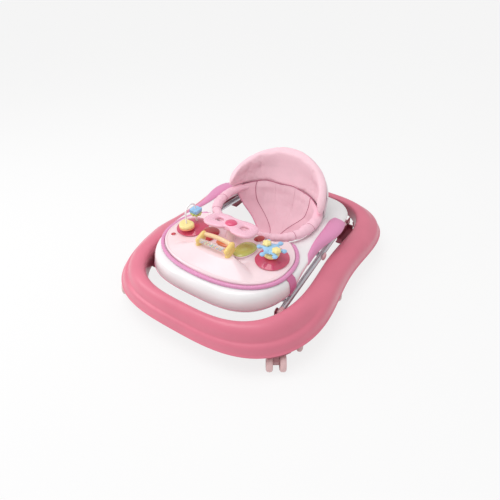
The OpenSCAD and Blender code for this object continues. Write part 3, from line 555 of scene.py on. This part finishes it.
LENS = [(0, 8.6), (0.3, 8.4), (0.6, 7.8), (0.8, 6.8), (0.92, 5.6), (0.98, 4.2), (1.0, 2.6), (1.0, 0), (0, 0)]
BEZEL = [(0, 1.6), (0.9, 1.6), (0.94, 2.5), (1.0, 2.3), (1.03, 1.2), (1.03, -1), (0, -1)]
FAN = ((20, -28), (33, 14), (20, 34), (-4, 38), (-26, 20), (-24, -34), (0, -40))
LIGHTS = (
    ("light_red_left", soft_loop(*[(-x, y) for x, y in reversed(FAN)]), (-60, -155), 181,
     paint(196, 58, 60), paint(150, 30, 36)),
    ("light_orange", superellipse(24, 12.5), (-2, -169), 181, paint(240, 140, 92), paint(214, 96, 50)),
    ("light_green", soft_loop(*FAN), (58, -158), 181, paint(205, 204, 112), paint(166, 168, 64)),
    ("light_red_right", soft_loop((-20, -12), (0, 21), (19, 8), (8, -21)), (66, -97), 181,
     paint(190, 54, 58), paint(146, 28, 34)),
)
for node, outline, (x, y), height, colour, deep in LIGHTS:
    acrylic = lens_finish(f"{node}_acrylic", colour, deep)
    lens = pressed(f"{node}_lens", outline, LENS, (x, y, height), acrylic, node)
    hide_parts(node)
    bezel = pressed(f"{node}_bezel", outline, BEZEL, (x, y, height + 1), panel_finish, "tray")

power_finish = moulded("power_red", paint(205, 66, 80), wear=0.1, roughness=0.15, coat=0.6,
                       coat_roughness=0.05)
dress(power_finish, "power_button")

# The panel is open round the power button, inside a low collar.
power_low, power_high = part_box("power_button")
POWER = (power_low + power_high) / 2 / MM
HOLE = (power_high.x - power_low.x) / 2 / MM + 1.5    # radius of the hole in the panel


def from_power(point):
    """How far a point is from the power button's middle, seen from above."""
    return math.hypot(point.x / MM - POWER.x, point.y / MM - POWER.y)


def collar_point(around, ring):
    """A point of the low round collar that guards the power button."""
    turn, swing = around * 2 * math.pi, ring * 2 * math.pi
    out = HOLE + 1 + 2.1 * math.cos(swing)
    return POWER.x + out * math.cos(turn), POWER.y + out * math.sin(turn), PLATE - 0.4 + 1.7 * math.sin(swing)


panel_mesh = bmesh.new()
panel_mesh.from_mesh(panel.data)
over_button = [face for face in panel_mesh.faces if from_power(face.calc_center_median()) < HOLE - 1.2]
bmesh.ops.delete(panel_mesh, geom=over_button, context="FACES")
for vertex in panel_mesh.verts:
    if vertex.is_boundary and from_power(vertex.co) < 2 * HOLE:
        grow = HOLE / from_power(vertex.co)
        vertex.co.x = POWER.x * MM + (vertex.co.x - POWER.x * MM) * grow
        vertex.co.y = POWER.y * MM + (vertex.co.y - POWER.y * MM) * grow
panel_mesh.to_mesh(panel.data)
panel_mesh.free()
collar_mesh = bent_grid(48, 12, collar_point)
shade(collar_mesh, 180)
collar = finished("power_collar", collar_mesh, panel_finish, "tray")

# ---------- Steering wheel ----------
# A butterfly-shaped wheel of soft pink plastic with two finger windows. A
# raspberry horn button sits in its hub.

COLUMN = Matrix.Translation(Vector((0, -140, DECK + 26)) * MM) @ Matrix.Rotation(math.radians(-8), 4, "X")


def melded(name, mesh, voxel, passes, finish, body, turn=None):
    """Runs overlapping lumps together into one soft moulding."""
    bmesh.ops.recalc_face_normals(mesh, faces=mesh.faces)
    piece = finished(name, mesh, finish, body)
    even = piece.modifiers.new("even", "REMESH")
    even.mode = "VOXEL"
    even.voxel_size = voxel * MM
    soften = piece.modifiers.new("soften", "SMOOTH")
    soften.factor = 0.8
    soften.iterations = passes
    graph = bpy.context.evaluated_depsgraph_get()
    piece.data = bpy.data.meshes.new_from_object(piece.evaluated_get(graph))
    piece.modifiers.clear()
    if turn is not None:
        piece.data.transform(turn)
    for face in piece.data.polygons:
        face.use_smooth = True
    return piece


def rod(mesh, start, end, radius, blunt=True, sides=20):
    """Adds a round rod between two points, with ball ends unless it is cut square."""
    start, end = Vector(start), Vector(end)
    way = end - start
    turn = way.to_track_quat("Z", "Y").to_matrix().to_4x4()
    place = Matrix.Translation((start + end) / 2 * MM) @ turn
    bmesh.ops.create_cone(mesh, cap_ends=True, segments=sides, radius1=radius * MM, radius2=radius * MM,
                          depth=way.length * MM, matrix=place)
    if blunt:
        for end_point in (start, end):
            bmesh.ops.create_uvsphere(mesh, u_segments=sides, v_segments=sides // 2, radius=radius * MM,
                                      matrix=Matrix.Translation(end_point * MM))


def lump(mesh, at, size, turn=0.0):
    """Adds a ball stretched to a size."""
    place = Matrix.Translation(Vector(at) * MM) @ Matrix.Rotation(turn, 4, "Z") @ Matrix.Diagonal((*size, 1))
    bmesh.ops.create_uvsphere(mesh, u_segments=28, v_segments=14, radius=MM, matrix=place)


WINDOW = 10.5                            # half the width of a finger window
LOBE_WIDE, LOBE_DEEP, LOBE_THICK = 40, 38, 7
LOBE_HIGH = 38                           # height of the lobes' middle over the column's foot


def wheel_lobe(side):
    """A fat loop round one finger window."""
    def place(around, ring):
        turn, swing = around * 2 * math.pi, ring * 2 * math.pi
        c, s = math.cos(turn), math.sin(turn)
        window = Vector((WINDOW * eased(c, 0.75), 4 + WINDOW * eased(s, 0.75), 0))
        outer = Vector((LOBE_WIDE * eased(c, 0.8), 2 + LOBE_DEEP * eased(s, 0.8) - 0.1 * LOBE_WIDE * c, 0))
        point = window.lerp(outer, 0.5 + 0.5 * math.cos(swing))
        height = LOBE_HIGH + LOBE_THICK * eased(math.sin(swing), 0.8)
        return side * (LOBE_WIDE + point.x), point.y, height
    return place


grip_finish = moulded("grip_pink", paint(251, 196, 215), wear=0.0, roughness=0.26, coat=0.3)
wheel_mesh = bmesh.new()
for side in (1, -1):
    bent_grid(64, 20, wheel_lobe(side), wheel_mesh)
bmesh.ops.create_cone(wheel_mesh, cap_ends=True, segments=40, radius1=22 * MM, radius2=20 * MM, depth=14 * MM,
                      matrix=Matrix.Translation((0, 0, 37 * MM)))
rod(wheel_mesh, (-30, 27, 37.5), (30, 27, 37.5), 8)
wheel = melded("steering_grips", wheel_mesh, 1.7, 6, grip_finish, "steering", COLUMN)
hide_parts("steering_wheel")

horn_finish = moulded("horn_pink", paint(232, 84, 128), wear=0.1, roughness=0.14, coat=0.6,
                      coat_roughness=0.05)
HORN = [(0, 8.6), (0.3, 8.4), (0.6, 7.6), (0.8, 6.3), (0.93, 4.6), (1.0, 2.4), (1.0, 0), (0, 0)]
horn = pressed("horn_dome", superellipse(16.8, 16.8), HORN, (0, 0, 42.5), horn_finish, "horn", turns=48)
horn.data.transform(COLUMN)
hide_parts("horn_button")

# ---------- Carrying handle ----------
# Two butter-yellow cheeks stand on the ridge. A thick peach bar joins them at
# the back, and a clear tube of coloured beads turns between them at the front.

bar_low, bar_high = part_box("handle_bar")
tube_low, tube_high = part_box("bead_tube")
BAR = (bar_low + bar_high) / 2 / MM
TUBE = (tube_low + tube_high) / 2 / MM
CHEEK = bar_high.x / MM
butter_finish = moulded("handle_butter", paint(250, 214, 128), wear=0.0, roughness=0.22, coat=0.4)
cheek_mesh = bmesh.new()
for side in (1, -1):
    x = side * CHEEK
    for knot in range(7):
        share = knot / 6
        y = BAR.y + (TUBE.y - BAR.y) * share
        z = BAR.z + (TUBE.z - BAR.z) * share
        lump(cheek_mesh, (x, y, z - 5 + 4 * share), (7.5, 9.5, 9.5))
        lump(cheek_mesh, (x + side * 1.5, y * 0.9 + (BAR.y + TUBE.y) * 0.05, z - 16), (7.5, 9, 10.5))
cheeks = melded("handle_cheeks", cheek_mesh, 1.4, 5, butter_finish, "tray")
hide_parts("handle_ends")
bar_mesh = bmesh.new()
for knot in range(25):
    share = knot / 24 * 2 - 1
    rise = 2.5 * (1 - share * share)
    lump(bar_mesh, (share * (CHEEK - 4), BAR.y + 3 - share * share * 3, BAR.z - 4.5 + rise), (5, 6.4, 6.2))
bar = melded("handle_grip_bar", bar_mesh, 1.4, 5,
             moulded("bar_peach", paint(251, 214, 168), wear=0.1, roughness=0.14, coat=0.6), "tray")
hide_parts("handle_bar")
tube_finish = moulded("tube_clear", paint(255, 250, 246), wear=0.0, roughness=0.05, coat=0.7, alpha=0.22)
dress(tube_finish, "bead_tube")

BEAD_COLOURS = (("bead_blue", paint(96, 156, 226)), ("bead_coral", paint(240, 112, 96)),
                ("bead_green", paint(138, 200, 110)), ("bead_butter", paint(250, 214, 96)))
bead_mesh = bmesh.new()
owners = []
BEAD_RUN = 32                            # half the length that the beads fill
BEAD_OUT = 2.9                           # how far they lie from the tube's middle
for number in range(54):
    row, place = number % 3, number // 3
    angle = math.radians((-150, -90, -30)[row] + 25 * math.sin(number * 2.4))
    spot = Matrix.Translation(Vector((
        -BEAD_RUN + place * 2 * BEAD_RUN / 17 + row * 0.8,
        TUBE.y + BEAD_OUT * math.cos(angle),
        TUBE.z - 0.2 + BEAD_OUT * math.sin(angle))) * MM)
    before = len(bead_mesh.faces)
    bmesh.ops.create_icosphere(bead_mesh, subdivisions=2, radius=2.05 * MM, matrix=spot)
    owners += [(number * 7 + row * 3 + place // 4) % 4] * (len(bead_mesh.faces) - before)
shade(bead_mesh, 180)
for face, owner in zip(bead_mesh.faces, owners):
    face.material_index = owner
bead_looks = [moulded(name, colour, wear=0.0, roughness=0.2, coat=0.4) for name, colour in BEAD_COLOURS]
bead_fill = finished("bead_fill", bead_mesh, bead_looks[0], "bead_roller")
for look in bead_looks[1:]:
    bead_fill.data.materials.append(look)
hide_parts("beads")

# ---------- Wire toy ----------
# A coated wire arch holds two toys that turn on it: a heart-shaped bowl in
# butter and orange, and a notched blue block on a scalloped green foot.

knob_low, knob_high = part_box("arch_knob")
block_low, block_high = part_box("arch_block")
KNOB = (knob_low + knob_high) / 2 / MM
BLOCK = (block_low + block_high) / 2 / MM
toy_butter = moulded("toy_butter", paint(253, 234, 158), wear=0.1, roughness=0.28, coat=0.3)
toy_orange = moulded("toy_orange", paint(250, 158, 118), wear=0.1, roughness=0.28, coat=0.3)
toy_green = moulded("toy_green", paint(206, 216, 118), wear=0.1, roughness=0.3, coat=0.3)
toy_blue = moulded("toy_blue", paint(158, 205, 243), wear=0.1, roughness=0.3, coat=0.3)
HEART = soft_loop((-6, -25), (10, -24), (24, -10), (26, 8), (10, 22), (0, 16), (-12, 22), (-26, 8),
                  (-22, -12))
BOWL = [(0, 8), (0.9, 8), (0.97, 7), (0.96, 4.5), (0.84, 2), (0.6, 0.3), (0, 0.3)]
BOWL_LID = [(0, 15.4), (0.3, 15.8), (0.62, 17.4), (0.78, 17.4), (0.88, 15.6), (0.95, 12), (0.93, 8.6),
            (0.86, 7.9), (0, 7.9)]
knob_foot = (KNOB.x, KNOB.y, knob_low.z / MM)
bowl = pressed("bowl_orange", HEART, BOWL, knob_foot, toy_orange, "arch_knob")
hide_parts("arch_knob")
pressed("bowl_butter", HEART, BOWL_LID, knob_foot, toy_butter, "arch_knob")


def scalloped(radius, lobes, deep):
    """A round outline with a wavy edge."""
    def at(share):
        turn = share * 2 * math.pi
        out = radius + deep * math.cos(lobes * turn)
        return out * math.cos(turn), out * math.sin(turn)
    return at


foot = block_low.z / MM
FOOT_PLATE = [(0, 8.6), (0.9, 8.6), (1, 7.2), (1, 2), (0.86, 0.2), (0, 0.2)]
CUBE = [(0, 11.6), (0.86, 11.6), (0.95, 11), (1, 9.4), (1, 1.4), (0.94, 0), (0, 0)]
block_foot = pressed("block_foot", scalloped(15.5, 8, 1.6), FOOT_PLATE, (BLOCK.x, BLOCK.y, foot), toy_green,
                     "arch_block", turns=96)
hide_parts("arch_block")
pressed("block_cube", superellipse(13.8, 13.8, 7), CUBE, (BLOCK.x, BLOCK.y, foot + 8.8), toy_blue,
        "arch_block")
block_trim = bmesh.new()
for side in (1, -1):
    for number in range(-2, 3):
        x, y = BLOCK.x + number * 5, BLOCK.y + side * 14
        rod(block_trim, (x, y, foot + 11), (x, y, foot + 18.5), 1.1, sides=10)
shade(block_trim, 40)
finished("block_ribs", block_trim, toy_blue, "arch_block")
dress(moulded("wire_white", paint(252, 248, 250), wear=0.05, roughness=0.2, coat=0.4), "wire_arch")

# ---------- Spinner ----------
# A butter bowl carries a blue rotor with bulb-ended arms and cog teeth. Two
# flower knobs snap on top of it.

spin_low, spin_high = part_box("spinner_star")
base_low, base_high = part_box("spinner_base")
SPIN = (spin_low + spin_high) / 2 / MM
BASE_X, BASE_Y = (base_low + base_high).x / 2 / MM, (base_low + base_high).y / 2 / MM
CUP = [(0, 17.8), (0.55, 17.8), (0.82, 15), (0.95, 11.4), (1.0, 8), (0.97, 4.6), (0.84, 1.4), (0.7, 0),
       (0, 0)]
cup = pressed("spinner_cup", superellipse(22, 22), CUP, (BASE_X, BASE_Y, PLATE + 14.3), toy_butter, "tray",
              turns=56)
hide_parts("spinner_base")
rotor_mesh = bmesh.new()
for arm in range(6):
    turn = math.radians(15 + 60 * arm)
    tip = Vector((math.cos(turn), math.sin(turn), 0))
    centre = Vector((BASE_X, BASE_Y, SPIN.z))
    rod(rotor_mesh, centre, centre + tip * 31, 4.2)
    lump(rotor_mesh, centre + tip * 33, (7.4, 7.4, 4.6))
    for tooth in (-20, 0, 20):
        side_turn = turn + math.radians(30 + tooth * 0.8)
        way = Vector((math.cos(side_turn), math.sin(side_turn), 0))
        rod(rotor_mesh, centre + way * 12, centre + way * 21, 2.3, sides=12)
lump(rotor_mesh, centre, (17.5, 17.5, 4.4))
rotor = melded("spinner_rotor", rotor_mesh, 1.2, 3, toy_blue, "spinner")
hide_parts("spinner_star")
top = spin_high.z / MM
FLOWER = [(0, 10.6), (0.22, 10.2), (0.36, 8.9), (0.5, 9.2), (0.72, 8.4), (0.9, 6.2), (1, 3.6), (0.94, 0.6),
          (0.7, 0), (0, 0)]
for number, degrees in enumerate((-20, 160)):
    angle = math.radians(degrees)
    spot = (BASE_X + 19 * math.cos(angle), BASE_Y + 19 * math.sin(angle), top - 0.6)
    knob = pressed(f"flower_knob_{number + 1}", scalloped(12, 6, 1.1), FLOWER, spot, toy_butter, "spinner",
                   turns=72)
    if number == 0:
        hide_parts("spinner_caps")

# ---------- Seat hood ----------
# A foam-filled hood of brushed pink polyester wraps the back of the seat
# opening. It is thick along its crest, hollow inside, and its two ends come
# forward over the rim. A white board stands behind it.

rim_low, rim_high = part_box("seat_roll")
ROLL = 11
OPEN_WIDE = (rim_high.x - rim_low.x) / 2 / MM - ROLL - 4
OPEN_DEEP = (rim_high.y - rim_low.y) / 2 / MM - ROLL - 4
OPEN_Y = (rim_high.y + rim_low.y) / 2 / MM


def opening(turn, out=0.0):
    """A point of the seat opening's edge, moved outwards, seen from above."""
    c, s = math.cos(turn), math.sin(turn)
    reach = ((abs(c) / (OPEN_WIDE + out)) ** 2.5 + (abs(s) / (OPEN_DEEP + out)) ** 2.5) ** -0.4
    return Vector((reach * c, OPEN_Y + reach * s, 0))


def woven_cloth_group():
    """Plain weave: crossing threads, slubs and soft tone changes."""
    tree, given, result = start_group(
        "woven_cloth",
        [("Colour", "Color", (1, 1, 1, 1)), ("Thread Colour", "Color", (1, 1, 1, 1)),
         ("Thread", "Float", 0.0011)],
        [("Colour", "Color"), ("Roughness", "Float"), ("Height", "Float")])
    place = put(tree, "TexCoord").outputs["Object"]
    parts = put(tree, "SeparateXYZ", {0: place})
    turns = maths(tree, "DIVIDE", 6.2832, given["Thread"])
    level = maths(tree, "ADD", parts.outputs[0], parts.outputs[1])
    skew = maths(tree, "SUBTRACT", parts.outputs[0], parts.outputs[1])
    rise = maths(tree, "ADD", parts.outputs[2], skew)
    warp = maths(tree, "MULTIPLY", level, turns)
    weft = maths(tree, "MULTIPLY", rise, turns)
    warp = maths(tree, "SINE", warp)
    weft = maths(tree, "SINE", weft)
    cross = maths(tree, "MULTIPLY", warp, weft)
    weave = mapped(tree, cross, -1, 1, 0, 1)
    slub = cloudy(tree, place, 420)
    cloud = cloudy(tree, place, 22)
    tone = mapped(tree, cloud, 0.3, 0.7, 0.95, 1.04)
    base = put(tree, "HueSaturation", {"Value": tone, "Color": given["Colour"]}).outputs[0]
    share = maths(tree, "MULTIPLY", weave, slub)
    mixed = blend(tree, share, base, given["Thread Colour"])
    tree.links.new(mixed, result["Colour"])
    rough = mapped(tree, slub, 0, 1, 0.75, 0.95)
    tree.links.new(rough, result["Roughness"])
    height = maths(tree, "ADD", weave, slub)
    tree.links.new(height, result["Height"])
    return tree


woven_cloth = woven_cloth_group()


def cloth(name, colour, thread_colour, thread=1.1 * MM, depth=0.12 * MM):
    """A woven polyester in one colour, with a soft sheen."""
    finish, tree, shader = start_finish(name)
    weave = put(tree, "Group", {"Colour": colour, "Thread Colour": thread_colour, "Thread": thread},
                node_tree=woven_cloth).outputs
    fill(tree, shader, {"Base Color": weave["Colour"], "Roughness": weave["Roughness"],
                        "Normal": relief(tree, weave["Height"], depth, 0.5), "Sheen Weight": 0.25,
                        "Sheen Roughness": 0.4, "Sheen Tint": (1, 0.93, 0.96, 1)})
    return finish


hood_cloth = cloth("hood_cloth", paint(252, 208, 220), paint(255, 224, 232))
lining_cloth = cloth("lining_cloth", paint(253, 210, 222), paint(255, 222, 231))
# Painted shade: the wings' cloth is the lining's pink made a little darker for the shade the wings sit in.
shaded_wing_cloth = cloth("shaded_wing_cloth", paint(252, 202, 216), paint(255, 218, 228))
piping_cloth = cloth("piping_cloth", paint(186, 98, 130), paint(206, 122, 150), thread=0.7 * MM)
edge_cloth = cloth("edge_cloth", paint(238, 160, 188), paint(246, 182, 204), thread=0.7 * MM)

pad_low, pad_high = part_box("seat_back_pad")
HOOD_BASE = pad_low.z / MM
HOOD_TALL = (pad_high.z - pad_low.z) / MM
LEAN = 0.16


def crest(share):
    """Height of the hood at a share of its length, with rounded ends."""
    arch = math.sin(math.pi * min(1, max(0, share))) ** 0.75
    return 30 + (HOOD_TALL - 32) * arch, arch


def hood_point(share, ring):
    """A point round the hood's cross-section: thin at the foot, a fat roll along the crest."""
    turn = math.radians(9 + 162 * share)
    tall, arch = crest(share)
    tip = min(1.0, share / 0.05, (1 - share) / 0.05)
    tip = math.sqrt(max(0.0, 1 - (1 - tip) ** 2)) * 0.97 + 0.03
    swing = ring * 2 * math.pi
    c, s = math.cos(swing), math.sin(swing)
    lift = tall / 2 + tall / 2 * eased(s, 0.75) * tip
    level = min(1, max(0, lift / tall))
    arm = max(0.0, abs(2 * share - 1) - 0.5) * 2
    fat = 9.5 + (7.5 + 3 * arm) * level ** 2.6
    hollow = 9 * arch * math.sin(math.pi * level ** 0.8) ** 1.5 if c < 0 else 0
    out = 3 + (fat * eased(c, 0.8) + hollow) * tip + lift * LEAN * arch
    edge, wide = opening(turn), opening(turn, 10)
    point = edge + (wide - edge).normalized() * out
    point.x *= 1 - 0.05 * level ** 1.5
    point.z = HOOD_BASE + 1 + lift
    return point


def puffed(piece, voxel, pressure, cap, frames=20):
    """Inflates a closed cushion as cloth under pressure and keeps each point within the cap."""
    scene = bpy.context.scene
    even = piece.modifiers.new("even", "REMESH")
    even.mode = "VOXEL"
    even.voxel_size = voxel
    graph = bpy.context.evaluated_depsgraph_get()
    piece.data = bpy.data.meshes.new_from_object(piece.evaluated_get(graph))
    piece.modifiers.clear()
    start = [v.co.copy() for v in piece.data.vertices]
    inflate = piece.modifiers.new("inflate", "CLOTH")
    inflate.settings.use_pressure = True
    inflate.settings.uniform_pressure_force = pressure
    inflate.settings.effector_weights.gravity = 0
    inflate.settings.quality = 5
    inflate.point_cache.frame_start = 1
    inflate.point_cache.frame_end = frames
    for number in range(1, frames + 1):
        scene.frame_set(number)
    graph = bpy.context.evaluated_depsgraph_get()
    swollen = bpy.data.meshes.new_from_object(piece.evaluated_get(graph))
    piece.modifiers.clear()
    for vertex, origin, moved in zip(piece.data.vertices, start, swollen.vertices):
        shift = moved.co - origin
        if shift.length > cap:
            shift.length = cap
        vertex.co = origin + shift
    bpy.data.meshes.remove(swollen)
    scene.frame_set(1)


hood_mesh = bent_grid(96, 40, hood_point)
bmesh.ops.holes_fill(hood_mesh, edges=[e for e in hood_mesh.edges if e.is_boundary])
bmesh.ops.recalc_face_normals(hood_mesh, faces=hood_mesh.faces)
hood = finished("seat_hood", hood_mesh, hood_cloth, "tray")
puffed(hood, 4.5 * MM, 3.0, 4 * MM)
for face in hood.data.polygons:
    face.use_smooth = True
rounded(hood, 1)
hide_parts("seat_back_pad")
dress(moulded("board_white", paint(240, 236, 238), wear=0.2, roughness=0.4), "seat_back_board")

# ---------- Seat lining ----------
# The seat itself is a saddle of padded cloth: it hangs from the hood's seam,
# narrows between the legs and comes up to the front rim. Two seams part its
# middle from the wings, whose cloth carries painted shade in a darker pink,
# and its free edges are bound with piping.

# how the saddle runs: middle line (y, z) and edge line (x, y, z), from the hood's seam to the front rim
SADDLE = [
    (0.00, (168, 206), (-141, 120, 184)),
    (0.06, (165, 186), (-144, 107, 176)),
    (0.14, (165, 160), (-141, 104, 160)),
    (0.25, (158, 124), (-126, 112, 124)),
    (0.38, (138, 80), (-88, 114, 76)),
    (0.50, (112, 47), (-60, 98, 48)),
    (0.60, (78, 29), (-48, 72, 38)),
    (0.70, (38, 28), (-44, 38, 38)),
    (0.80, (-4, 50), (-46, -2, 58)),
    (0.90, (-40, 104), (-52, -36, 106)),
    (1.00, (-59, 166), (-58, -55, 166)),
]


def along(share, pick):
    """Smooth value of one column of the saddle's run (Catmull-Rom between its stations)."""
    stations = [row[0] for row in SADDLE]
    place = min(len(stations) - 2, max(0, sum(1 for s in stations[1:] if s <= share)))
    a, b = stations[place], stations[place + 1]
    t = (share - a) / (b - a)
    values = [pick(SADDLE[min(len(SADDLE) - 1, max(0, place + k))]) for k in (-1, 0, 1, 2)]
    p0, p1, p2, p3 = values
    return 0.5 * (2 * p1 + (p2 - p0) * t + (2 * p0 - 5 * p1 + 4 * p2 - p3) * t * t
                  + (3 * p1 - p0 - 3 * p2 + p3) * t ** 3)


def saddle_point(across, run, lift=0.0):
    """A point of the lining: across from -1 to 1, run from the hood's seam to the front rim."""
    middle_y, middle_z = along(run, lambda r: r[1][0]), along(run, lambda r: r[1][1])
    edge_x, edge_y, edge_z = (along(run, lambda r, k=k: r[2][k]) for k in range(3))
    bow = abs(across) ** (3.0 - 0.9 * min(1, run / 0.4))
    x = -edge_x * across
    y = middle_y + (edge_y - middle_y) * bow
    z = middle_z + (edge_z - middle_z) * bow
    if run < 0.06:
        z += (0.06 - run) / 0.06 * 3 * math.sin(across * 9) * (1 - abs(across))
    crease = noise.noise(Vector((x * 0.028, y * 0.02, z * 0.03 + 7))) * 2.4
    gather = noise.noise(Vector((x * 0.11, 3, z * 0.012))) * 1.8 * max(0.0, 1 - run / 0.3)
    crease += gather
    pull = Vector((0, -1, 0.25)) if run < 0.55 else Vector((0, 0.4, 1))
    return Vector((x, y, z)) + pull.normalized() * (crease + lift)


def lining_strip(name, left, right, finish, columns):
    """One panel of the lining, between two lines that run from the hood to the front."""
    mesh = bent_grid(columns, 110, lambda u, v: saddle_point(left(v) + (right(v) - left(v)) * u, v))
    bmesh.ops.solidify(mesh, geom=mesh.faces[:], thickness=-2.4 * MM)
    bmesh.ops.recalc_face_normals(mesh, faces=mesh.faces)
    shade(mesh, 70)
    piece = finished(name, mesh, finish, "tray")
    rounded(piece, 1)
    return piece


def seam(run):
    """Where the seams lie: wide apart under the hood, closing in towards the seat."""
    return 0.68 - 0.44 * smooth((run - 0.22) / 0.36)


lining = lining_strip("lining_middle", lambda run: -seam(run), seam, lining_cloth, 44)
lining_strip("lining_wing_left", seam, lambda run: 1.0, shaded_wing_cloth, 22)
lining_strip("lining_wing_right", lambda run: -1.0, lambda run: -seam(run), shaded_wing_cloth, 22)
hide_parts("seat_sling")

steps = [k / 120 for k in range(121)]
for name, side in (("left", 1), ("right", -1)):
    for part, points, radius, look in (
            ("seam", [saddle_point(side * seam(k), k, 0.5) for k in steps], 0.9, piping_cloth),
            ("edge", [saddle_point(side, k, 0.6) for k in steps], 2.0, edge_cloth),
            ("tuck", [saddle_point(side * 0.24, k, 0.1) for k in steps[2:52]], 0.6, lining_cloth)):
        piped(f"lining_{part}_{name}", points, radius, look)
hood_seam = piped("hood_foot_seam", [saddle_point(-1 + 2 * k, 0.0, 1.2) for k in steps], 1.2, piping_cloth)

# ---------- Rim roll ----------
# A sleeve of the same cloth is drawn over a foam cord round the opening. It is
# gathered at the sides, and dark stitching holds its cuffs beside the hood.

rim_cloth = cloth("rim_cloth", paint(250, 200, 216), paint(255, 216, 228))
CUFFS = (math.radians(186), math.radians(212), math.radians(-6), math.radians(-30))


def rim_point(round_share, ring):
    """A point of the rim's sleeve."""
    turn = round_share * 2 * math.pi
    swing = ring * 2 * math.pi
    gather = noise.noise(Vector((math.cos(turn) * 12, math.sin(turn) * 12, math.cos(swing) * 0.8))) * 2.6
    gather += noise.noise(Vector((math.cos(turn) * 34, math.sin(turn) * 34, math.sin(swing) * 1.2 + 5))) * 1.3
    pinch = 0.0
    for cuff in CUFFS:
        apart = abs((turn - cuff + math.pi) % (2 * math.pi) - math.pi)
        pinch = max(pinch, math.exp(-(apart / 0.018) ** 2))
    fat = ROLL - 0.8 + gather - 1.8 * pinch
    if math.sin(turn) > 0.1:
        fat = ROLL - 1.5
    plump = 6 * math.exp(-((abs(math.cos(turn)) - 1) / 0.22) ** 2)
    edge, wide = opening(turn), opening(turn, 10)
    point = edge + (wide - edge).normalized() * (4 - plump + (fat + plump) * math.cos(swing))
    point.z = DECK + ROLL + plump * 0.4 + (fat + plump * 0.4) * math.sin(swing)
    return point


rim_mesh = bent_grid(360, 24, rim_point)
rim = finished("rim_sleeve", rim_mesh, rim_cloth, "tray")
for face in rim.data.polygons:
    face.use_smooth = True
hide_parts("seat_roll")
for number, cuff in enumerate(CUFFS):
    around = [Vector(rim_point(cuff / (2 * math.pi) % 1, k / 24)) for k in range(24)]
    middle = sum(around, Vector()) / 24
    stitches = [middle + (point - middle) * 1.04 for point in around]
    stitched = piped(f"cuff_stitch_{number + 1}", stitches, 0.55, piping_cloth, closed=True)

# ---------- Studio ----------
# A white floor under soft boxes.

floor_mesh = bmesh.new()
bmesh.ops.create_grid(floor_mesh, x_segments=2, y_segments=2, size=16)
floor_data = bpy.data.meshes.new("floor")
floor_mesh.to_mesh(floor_data)
floor_mesh.free()
floor = bpy.data.objects.new("floor", floor_data)
bpy.context.scene.collection.objects.link(floor)
floor_finish, floor_tree, floor_shader = start_finish("floor_white")
fill(floor_tree, floor_shader, {"Base Color": (0.9, 0.9, 0.9, 1), "Roughness": 0.9})
ray = put(floor_tree, "LightPath").outputs
seen = maths(floor_tree, "MAXIMUM", ray["Is Camera Ray"], ray["Is Glossy Ray"])
white = put(floor_tree, "Emission", {"Color": (1, 1, 1, 1), "Strength": 1.0})
share = maths(floor_tree, "MULTIPLY", seen, 0.8)
floor_mix = put(floor_tree, "MixShader", {0: share, 1: floor_shader.outputs[0], 2: white.outputs[0]})
floor_tree.links.new(floor_mix.outputs[0], floor_tree.nodes["Material Output"].inputs["Surface"])
floor_data.materials.append(floor_finish)

world = bpy.data.worlds.new("studio")
bpy.context.scene.world = world
world.use_nodes = True
sky = world.node_tree
backdrop = sky.nodes["Background"]
fill(sky, backdrop, {"Color": (1, 0.99, 0.99, 1), "Strength": 0.62})
sky_ray = put(sky, "LightPath")
paper = put(sky, "Background", {"Color": (1, 1, 1, 1), "Strength": 1.0})
sky_mix = put(sky, "MixShader",
              {0: sky_ray.outputs["Is Camera Ray"], 1: backdrop.outputs[0], 2: paper.outputs[0]})
sky.links.new(sky_mix.outputs[0], sky.nodes["World Output"].inputs["Surface"])


def soft_box(name, place, aim, size, power):
    """A square lamp that faces a point."""
    lamp = bpy.data.lights.new(name, "AREA")
    lamp.shape = "SQUARE"
    lamp.size = size
    lamp.energy = power
    holder = bpy.data.objects.new(name, lamp)
    bpy.context.scene.collection.objects.link(holder)
    holder.location = place
    holder.rotation_euler = (Vector(aim) - Vector(place)).to_track_quat("-Z", "Y").to_euler()


soft_box("overhead_box", (-0.3, -0.4, 1.9), (0, 0, 0.1), 1.3, 13)
soft_box("left_box", (-1.5, -1.2, 1.1), (0, -0.1, 0.1), 1.0, 9)

camera_data = bpy.data.cameras.new("camera")
camera = bpy.data.objects.new("camera", camera_data)
bpy.context.scene.collection.objects.link(camera)
camera_data.lens = 28.8
camera_data.sensor_width = 36
right = Vector((0.8393, 0.5436, 0))
up = Vector((-0.3388, 0.5231, 0.7820))
back = right.cross(up)
camera.matrix_world = Matrix((
    (right.x, up.x, back.x, 0.5206),
    (right.y, up.y, back.y, -0.8455),
    (right.z, up.z, back.z, 0.8416),
    (0, 0, 0, 1)))
bpy.context.scene.camera = camera
bpy.context.scene.view_settings.view_transform = "Standard"
